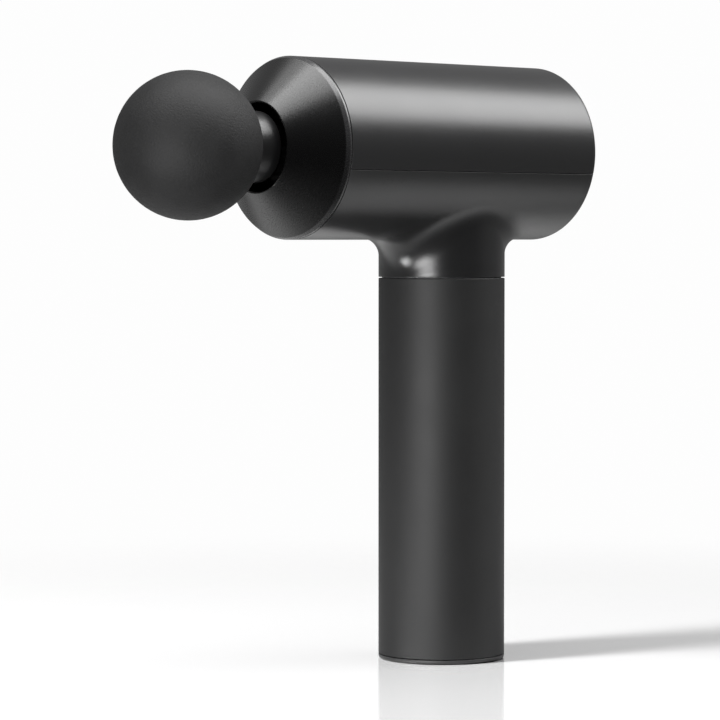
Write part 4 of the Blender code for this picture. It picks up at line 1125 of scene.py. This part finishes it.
# ---------------- nose
@dataclass
class Nose(Builder):
    """The conical nose with its rim band, round opening and spigot, and the seal inside it."""

    steps: int = 256
    hole: float = 15.1 * MILLIMETRE
    rim_length: float = 2.2 * MILLIMETRE
    rim_drop: float = 0.7 * MILLIMETRE
    wall: float = 2.2 * MILLIMETRE
    shell_wall: float = 2.0 * MILLIMETRE
    rim_share: float = 0.4
    lip_round: float = 0.5 * MILLIMETRE
    lip_depth: float = 0.4 * MILLIMETRE
    seal_lip: float = 0.9 * MILLIMETRE

    def cone(self) -> None:
        """The cone, whose rim band catches the light in front of the parting groove; its finish also
        paints a highlight on that band.
        """
        outer, back, tip = self.sizes.barrel_radius, self.sizes.nose_back, self.sizes.nose_tip
        _, spigot_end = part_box("nose_cone")
        rim = (outer - self.rim_drop, back - self.rim_length)
        lip = (self.hole + self.lip_round, tip)
        along = Vector((lip[0] - rim[0], lip[1] - rim[1])).normalized()
        slope = along.y / along.x
        inner = (lip[0] + along.y * self.wall, lip[1] - along.x * self.wall)
        spigot = outer - self.shell_wall - GAP
        thin = spigot - self.wall
        fine = 0.1 * MILLIMETRE
        corners = [(outer, back, 2 * fine), (outer, back - self.rim_length * self.rim_share, 6 * fine)]
        corners += [(*rim, 4 * fine), (*lip, 3 * fine), (self.hole, tip + self.lip_depth, 3 * fine)]
        corners += [(self.hole, inner[1] + (self.hole - inner[0]) * slope, 2 * fine)]
        corners += [(thin, inner[1] + (thin - inner[0]) * slope, 4 * fine)]
        corners += [(thin, spigot_end.y, 2 * fine), (spigot, spigot_end.y, 2 * fine), (spigot, back, 0)]
        piece = new_piece("nose", turned(softened(corners), self.steps, self.barrel))
        self.hand_over(piece, "nose", "nose_cone")

    def seal(self) -> None:
        """The rubber dust seal round the plunger, with two lips."""
        low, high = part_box("dust_seal")
        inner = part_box("plunger")[1].x + GAP
        middle, lip = (low.y + high.y) / 2, self.seal_lip
        corners = [(inner, low.y), (high.x, low.y), (high.x, high.y), (inner, high.y)]
        corners += [(inner + lip, middle + lip / 2), (inner, middle), (inner + lip, middle - lip / 2)]
        rounded = softened([(*corner, 0.15 * MILLIMETRE) for corner in corners], steps=3)
        piece = new_piece("seal", turned(rounded, self.steps // 2, self.barrel))
        self.hand_over(piece, "rubber", "dust_seal")

    def build(self) -> None:
        """Builds the sub-assembly."""
        self.cone()
        self.seal()


# ---------------- head
@dataclass
class Head(Builder):
    """The foam ball on its moulded stem and collar."""

    steps: int = 192
    stem: float = 7.3 * MILLIMETRE
    collar: float = 12.2 * MILLIMETRE
    collar_length: float = 9.7 * MILLIMETRE
    core: float = 9.0 * MILLIMETRE
    flange: float = 14.0 * MILLIMETRE
    flange_depth: float = 10.0 * MILLIMETRE
    flange_length: float = 6.0 * MILLIMETRE
    ring_depth: float = 1.8 * MILLIMETRE
    ring_width: float = 2.2 * MILLIMETRE
    collar_edge: float = 0.75 * MILLIMETRE
    skin_steps: int = 110
    mouth_angle: float = 0.8
    pit_depth: float = 0.05 * MILLIMETRE
    pit_size: float = 1.4 * MILLIMETRE

    def levels(self) -> tuple[float, float]:
        """The collar's rear and front faces."""
        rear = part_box("plunger")[0].y - GAP
        return rear, rear - self.collar_length

    def stem_and_collar(self) -> None:
        """Stem with two ring grooves, the collar, and the flange inside the foam."""
        rear, front = self.levels()
        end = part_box("head_stem")[1].y
        fine = 0.2 * MILLIMETRE
        corners = [(self.stem, end, 5 * fine)]
        for node in ("head_ring_rear", "head_ring_front"):
            low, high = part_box(node)
            middle = (low.y + high.y) / 2
            start, stop = middle + self.ring_width / 2, middle - self.ring_width / 2
            groove = self.stem - self.ring_depth
            corners += [(self.stem, start, fine), (groove, start, fine)]
            corners += [(groove, stop, fine), (self.stem, stop, fine)]
        flange_rear = front - self.flange_depth
        flange_front = flange_rear - self.flange_length
        corners += [(self.stem, rear, fine), (self.collar, rear, self.collar_edge)]
        corners += [(self.collar, front, fine), (self.core, front, fine)]
        corners += [(self.core, flange_rear, fine), (self.flange, flange_rear, fine)]
        corners += [(self.flange, flange_front, fine), (0, flange_front, 0)]
        outline = softened([(0, end, 0)] + corners, closed=False, steps=6)
        piece = new_piece("collar", turned(outline, self.steps, self.barrel))
        self.hand_over(piece, "head_stem", "head_stem", "head")

    def ball(self) -> None:
        """The foam ball with its mouth moulded round the collar, its skin finely pitted."""
        radius, centre = self.sizes.ball_radius, self.sizes.ball_centre
        _, front = self.levels()
        mouth = self.collar + GAP
        start = math.acos(mouth / radius)
        first = math.degrees(start) - self.mouth_angle
        skin = arc((0, centre), radius, first, -90, self.skin_steps)[:-1]
        flange_rear = front - self.flange_depth
        flange_front = flange_rear - self.flange_length
        wide, core = self.flange + GAP, self.core + GAP
        outline = [(0, flange_front - GAP), (wide, flange_front - GAP), (wide, flange_rear + GAP)]
        outline += [(core, flange_rear + GAP), (core, front - GAP), (mouth, front - GAP)]
        outline += [(mouth, centre + radius * math.sin(start))] + skin + [(0, centre - radius)]
        piece = new_piece("ball", turned(outline, self.steps, self.barrel))
        middle = Vector((0, centre, self.sizes.barrel_height))
        for vertex in piece.data.vertices:
            out = vertex.co - middle
            if out.length > radius - 0.1 * MILLIMETRE:
                depth = noise.noise(vertex.co / self.pit_size) * 0.5 + 0.5
                vertex.co = middle + out.normalized() * (radius - self.pit_depth * depth)
        self.hand_over(piece, "massage_ball", "massage_ball", "head")

    def build(self) -> None:
        """Builds the sub-assembly."""
        self.stem_and_collar()
        self.ball()


# ---------------- rear
class GeometryTree(NodeTree):
    """A Geometry Nodes tree with named inputs."""

    def __init__(self, name: str) -> None:
        """Starts a tree that a geometry comes out of.

        Args:
            name: the tree's name.
        """
        super().__init__(bpy.data.node_groups.new(name, "GeometryNodeTree"))
        self.values: dict[str, object] = {}
        self.tree.interface.new_socket("Geometry", in_out="OUTPUT", socket_type="NodeSocketGeometry")
        self.entry = self.tree.nodes.new("NodeGroupInput")
        self.exit = self.tree.nodes.new("NodeGroupOutput")

    def input(self, name: str, kind: str, value: object = None) -> Sock:
        """Adds a named input.

        Args:
            name: the input's name.
            kind: its socket type, without NodeSocket.
            value: what the modifier gives it, if anything.

        Returns:
            The socket inside the tree.
        """
        socket = self.tree.interface.new_socket(name, in_out="INPUT", socket_type="NodeSocket" + kind)
        if value is not None:
            self.values[socket.identifier] = value
        return Sock(self, self.entry.outputs[name])

    def apply(self, piece: bpy.types.Object, geometry: Sock) -> bpy.types.Object:
        """Ends the tree, runs it on a piece and keeps the result as a plain mesh.

        Args:
            piece: the object that the tree works on.
            geometry: what comes out.

        Returns:
            The same piece.
        """
        self.feed(self.exit.inputs[0], geometry)
        modifier = piece.modifiers.new(self.tree.name, "NODES")
        modifier.node_group = self.tree
        for identifier, value in self.values.items():
            modifier[identifier] = value
        return settled(piece)


@dataclass
class RearEnd(Builder):
    """The vented rear cap, its light ring and the power button."""

    steps: int = 192
    small_steps: int = 128
    vents: int = 16
    vent_inner: float = 13.5 * MILLIMETRE
    vent_outer: float = 22.0 * MILLIMETRE
    vent_width: float = 1.8 * MILLIMETRE
    face_radius: float = 25.9 * MILLIMETRE
    opening: float = 9.3 * MILLIMETRE
    button: float = 6.9 * MILLIMETRE
    flange: float = 2.2 * MILLIMETRE
    skirt: float = 0.8 * MILLIMETRE
    dish: float = 0.35 * MILLIMETRE
    dish_rim: float = 1.5 * MILLIMETRE
    chamfer: float = 1.1 * MILLIMETRE
    dish_turns: tuple = (0.12, 0.4, 0.8, 1.2)
    button_stem: float = 2.0 * MILLIMETRE
    cut_past: float = 2.0 * MILLIMETRE

    def cap(self) -> None:
        """The turned cap with its recessed middle."""
        _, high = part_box("rear_cap")
        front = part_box("light_ring")[0].y
        back, face, hole = front + self.flange, self.face_radius, self.opening
        edge, fine = 0.5 * MILLIMETRE, 0.15 * MILLIMETRE
        corners = [(hole, front, fine), (high.x, front, fine), (high.x, back, fine), (face, back, fine)]
        corners += [(face, high.y, edge), (hole + 2 * edge, high.y, edge)]
        corners += [(hole + edge, high.y - edge, fine), (hole, high.y - edge, fine)]
        piece = new_piece("cap", turned(softened(corners), self.steps, self.barrel))
        piece = self.vented(piece, front, high.y)
        piece.data.set_sharp_from_angle(angle=math.radians(SMOOTH_ANGLE))
        self.hand_over(piece, "rear_cap", "rear_cap")

    def vented(self, piece: bpy.types.Object, front: float, rear: float) -> bpy.types.Object:
        """Cuts the radial vents with nodes: a slot with round ends, repeated on a ring.

        Args:
            piece: the cap.
            front: the y of its front.
            rear: the y of its rear face.

        Returns:
            The cut cap.
        """
        tree = GeometryTree("radial_vents")
        body = tree.input("Cap", "Geometry")
        count = tree.input("Vents", "Int", self.vents)
        inner = tree.input("Inner radius", "Float", self.vent_inner)
        outer = tree.input("Outer radius", "Float", self.vent_outer)
        width = tree.input("Vent width", "Float", self.vent_width)
        depth = tree.input("Depth", "Float", rear - front + 2 * self.cut_past)
        foot = (0, front - self.cut_past, self.sizes.barrel_height)
        start = tree.input("Start", "Vector", foot)
        dress = tree.input("Material", "Material", Wardrobe.material("rear_cap"))
        sides = {0: outer - inner, 1: width}
        outline = tree.node("GeometryNodeCurvePrimitiveQuadrilateral", {"mode": "RECTANGLE"}, sides)
        rounds = {"Curve": outline, "Radius": width * ALMOST_HALF, "Count": 6}
        slot = tree.node("GeometryNodeFilletCurve", {"mode": "POLY"}, rounds)
        ends = {"Start": (0, 0, 0), "End": tree.node("ShaderNodeCombineXYZ", {}, {2: depth})}
        line = tree.node("GeometryNodeCurvePrimitiveLine", {"mode": "POINTS"}, ends)
        sweep = {"Curve": line, "Profile Curve": slot, "Fill Caps": True}
        prism = tree.node("GeometryNodeCurveToMesh", {}, sweep)
        wheel = {"Vertices": count, "Radius": (outer + inner) * 0.5}
        ring = tree.node("GeometryNodeMeshCircle", {}, wheel)
        spot = tree.node("GeometryNodeInputPosition", {}, {})
        outwards = {"axis": "X", "pivot_axis": "Z"}
        turn = tree.node("FunctionNodeAlignRotationToVector", outwards, {"Vector": spot})
        spread = {"Points": ring, "Instance": prism, "Rotation": turn}
        copies = tree.node("GeometryNodeInstanceOnPoints", {}, spread)
        aim = tree.node("ShaderNodeCombineXYZ", {}, {2: math.pi / count})
        spun = tree.node("GeometryNodeTransform", {}, {"Geometry": copies, "Rotation": aim})
        laid = {"Geometry": spun, "Translation": start, "Rotation": (-math.pi / 2, 0, 0)}
        cutters = tree.node("GeometryNodeTransform", {}, laid)
        solid = tree.node("GeometryNodeRealizeInstances", {}, {0: cutters})
        meshes = {"Mesh 1": body, "Mesh 2": solid}
        cut = tree.node("GeometryNodeMeshBoolean", {"operation": "DIFFERENCE"}, meshes)
        whole = tree.node("GeometryNodeRealizeInstances", {}, {0: cut})
        dressed = tree.node("GeometryNodeSetMaterial", {}, {"Geometry": whole, "Material": dress})
        return tree.apply(piece, dressed)

    def ring(self) -> None:
        """The milky light ring."""
        low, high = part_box("light_ring")
        inner, fine = self.button + GAP, 0.2 * MILLIMETRE
        corners = [(inner, low.y, fine), (high.x, low.y, fine)]
        corners += [(high.x, high.y, 2 * fine), (inner, high.y, 2 * fine)]
        piece = new_piece("halo", turned(softened(corners), self.small_steps, self.barrel))
        self.hand_over(piece, "light_ring", "light_ring")

    def power_button(self) -> None:
        """The dished button on its stem."""
        low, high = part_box("power_button")
        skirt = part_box("light_ring")[0].y + self.skirt
        fine, edge, rim = 0.2 * MILLIMETRE, self.button, self.button - self.dish_rim
        corners = [(0, low.y, 0), (self.button_stem, low.y, fine), (self.button_stem, skirt, fine)]
        corners += [(edge, skirt, fine), (edge, high.y, 2 * fine)]
        corners += [(edge - self.chamfer, high.y, 2 * fine)]
        outline = softened(corners, closed=False)[:-1]
        for turn in self.dish_turns:
            outline.append((rim * math.cos(turn), high.y - self.dish * math.sin(turn)))
        outline.append((0, high.y - self.dish))
        piece = new_piece("button", turned(outline, self.small_steps, self.barrel))
        self.hand_over(piece, "power_button", "power_button", "button")

    def build(self) -> None:
        """Builds the sub-assembly."""
        self.cap()
        self.ring()
        self.power_button()


# ---------------- inner works
class InnerWorks:
    """The CAD nodes that keep their shape and get their finish here."""

    def __init__(self, record: dict, nodes: dict) -> None:
        """Keeps the CAD nodes by name, and each node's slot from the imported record."""
        self.nodes = nodes
        self.slots = {part["node"]: part["material_slot"] for part in record["subparts"]}

    def dress(self) -> None:
        """Gives every node that is still shown the material of its slot."""
        for name, node in self.nodes.items():
            if node.hide_render:
                continue
            if node.data.materials:
                node.material_slots[0].material = Wardrobe.material(self.slots[name])
            else:
                node.data.materials.append(Wardrobe.material(self.slots[name]))
            log.info("%s wears %s", name, self.slots[name])


# ---------------- studio
@dataclass(frozen=True)
class Softbox:
    """A rectangular light, placed as the camera sees the set.

    Places and directions are (to the camera's right, towards the camera, up), from a point on the
    floor under the object. A light may spare some objects, or fall on some objects only.
    """

    name: str
    place: Triple
    faces: Triple
    long_side: Triple
    size: Point
    radiance: float
    spares: tuple = ()
    falls_on: tuple = ()

    def build(self, right: Vector, front: Vector) -> None:
        """Makes the light.

        Args:
            right: the way to the camera's right.
            front: the way towards the camera.
        """
        data = bpy.data.lights.new(self.name, "AREA")
        data.shape = "RECTANGLE"
        data.size, data.size_y = self.size
        data.energy = self.radiance * math.pi * self.size[0] * self.size[1]
        seen = Matrix((right, front, (0, 0, 1))).transposed()
        place, aim, side = (seen @ Vector(value) for value in (self.place, self.faces, self.long_side))
        back = (place - aim).normalized()
        across = (side - back * side.dot(back)).normalized()
        light = bpy.data.objects.new(self.name, data)
        facing = Matrix((across, back.cross(across), back)).transposed()
        light.matrix_world = Matrix.Translation(place) @ facing.to_4x4()
        light.visible_camera = False
        bpy.context.scene.collection.objects.link(light)
        if self.spares or self.falls_on:
            linked = bpy.data.collections.new(self.name + "_link")
            for name in self.spares or self.falls_on:
                linked.objects.link(bpy.data.objects[name])
            for entry in linked.collection_objects:
                entry.light_linking.link_state = "INCLUDE" if self.falls_on else "EXCLUDE"
            light.light_linking.receiver_collection = linked


ACROSS = (1.0, 0.0, 0.0)
FLOOR = ("floor",)
LIGHTS = (
    Softbox("overhead", (0.92, -0.14, 1.18), (0.92, -0.14, 0.0), (1.0, -0.41, 0.0), (3.3, 0.86), 8.4),
    Softbox("left", (-0.74, -0.12, 1.15), (-0.4, 0.0, 0.1), ACROSS, (0.4, 0.5), 2.6, ("floor", "ball")),
    Softbox("strip", (-0.19, 0.36, 0.07), (0.0, 0.0, 0.1), ACROSS, (0.18, 0.2), 15.0, ("floor", "nose")),
    Softbox("key", (-2.2, 1.24, 1.6), (0.0, 0.0, 0.0), ACROSS, (0.7, 0.7), 575.0, falls_on=FLOOR),
    Softbox("backdrop", (0.0, -1.6, 0.5), (0.0, 0.0, 0.0), ACROSS, (3.0, 0.9), 0.45, falls_on=FLOOR),
)


@dataclass
class Studio:
    """Camera, floor, surroundings and lights.

    The shade patch is painted shade: a patch of floor in front of the object, painted dark to light and
    reflections but not to the camera. Its values are where it starts, where it is full, and how dark it
    is.
    """

    azimuth: float = math.radians(46.37)
    pitch: float = math.radians(2.167)
    distance: float = 1.1638
    sideways: float = -0.0291
    eye_height: float = 0.1506
    lens: float = 163.05
    sensor: float = 36.0
    sight: float = 50.0
    surround: tuple = ((0.25, 0.05), (0.50, 0.22), (1.0, 0.25))
    backcloth: float = 0.985
    floor_size: float = 6.0
    floor_fade: Point = (0.16, 0.50)
    floor_grey: float = 0.175
    floor_roughness: float = 0.12
    floor_ior: float = 1.45
    shade_patch: Triple = (-0.05, 0.14, 0.92)

    def __post_init__(self) -> None:
        """Finds the ways towards the camera and to its right."""
        self.front = Vector((math.sin(self.azimuth), -math.cos(self.azimuth), 0))
        self.right = Vector((math.cos(self.azimuth), math.sin(self.azimuth), 0))

    def camera(self) -> None:
        """The camera, level with the neck and a little to the nose's right."""
        data = bpy.data.cameras.new("camera")
        data.lens = self.lens
        data.sensor_width = self.sensor
        data.clip_end = self.sight
        camera = bpy.data.objects.new("camera", data)
        place = self.front * self.distance + self.right * self.sideways + Vector((0, 0, self.eye_height))
        look = -self.front * math.cos(self.pitch) - Vector((0, 0, math.sin(self.pitch)))
        facing = look.to_track_quat("-Z", "Y").to_matrix().to_4x4()
        camera.matrix_world = Matrix.Translation(place) @ facing
        bpy.context.scene.collection.objects.link(camera)
        bpy.context.scene.camera = camera

    def floor(self) -> None:
        """A pale, faintly glossy floor that fades out into the surroundings, with a patch of painted
        shade in front that only light and reflections see.
        """
        half = self.floor_size / 2
        corners = [(-half, -half, 0), (half, -half, 0), (half, half, 0), (-half, half, 0)]
        mesh = bpy.data.meshes.new("floor")
        mesh.from_pydata(corners, [], [(0, 1, 2, 3)])
        floor = bpy.data.objects.new("floor", mesh)
        bpy.context.scene.collection.objects.link(floor)
        grey = (self.floor_grey, self.floor_grey, self.floor_grey, 1)
        shader = Shader("floor", Roughness=self.floor_roughness, IOR=self.floor_ior)
        reach = shader.node("ShaderNodeVectorMath", {"operation": "LENGTH"}, {0: shader.place()}, "Value")
        near, far, depth = self.shade_patch
        ahead = shader.dot(shader.place(), tuple(self.front))
        # painted shade: in front of the object the floor colour turns dark for light and reflection rays,
        # not for the camera
        painted_shade = ahead.eased(near, far) * (1 - shader.looked_at()) * depth
        paint = shader.mix(painted_shade, grey, (0, 0, 0, 1))
        mesh.materials.append(shader.finish(Base_Color=paint, Alpha=1 - reach.eased(*self.floor_fade)))

    def surroundings(self) -> None:
        """Pale wherever the camera sees them; what they light gets a pale back and a dark front."""
        world = bpy.data.worlds.new("surroundings")
        bpy.context.scene.world = world
        world.use_nodes = True
        tree = NodeTree(world.node_tree)
        output = world.node_tree.nodes.new("ShaderNodeOutputWorld")
        way = tree.node("ShaderNodeTexCoord", {}, {}, "Generated")
        behind = tree.dot(way, tuple(-self.front))
        spread = tree.node("ShaderNodeMapRange", {}, {0: behind, 1: -1.0})
        stops = [(place, (level, level, level)) for place, level in self.surround]
        curve = tree.node("ShaderNodeValToRGB", {"stops": stops}, {0: spread})
        curve.socket.node.color_ramp.interpolation = "EASE"
        lighting = tree.node("ShaderNodeBackground", {}, {"Color": curve})
        pale = (self.backcloth, self.backcloth, self.backcloth, 1)
        seen = tree.node("ShaderNodeBackground", {}, {"Color": pale})
        choice = tree.node("ShaderNodeMixShader", {}, {0: tree.looked_at(), 1: lighting, 2: seen})
        tree.feed(output.inputs[0], choice)

    def build(self) -> None:
        """Sets the stage."""
        self.camera()
        self.floor()
        self.surroundings()
        for softbox in LIGHTS:
            softbox.build(self.right, self.front)
        bpy.context.scene.view_settings.view_transform = "Standard"


def main() -> None:
    """Builds every sub-assembly and the studio round it."""
    logging.basicConfig(level=logging.INFO, format="%(name)s: %(message)s")
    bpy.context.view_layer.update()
    sizes = Measures.from_frame()
    for assembly in (Grip, Shells, Nose, Head, RearEnd):
        assembly(sizes).build()
        log.info("%s built", assembly.__name__)
    InnerWorks(frame["record"], frame["nodes"]).dress()
    Studio().build()


if __name__ == "__main__":
    main()
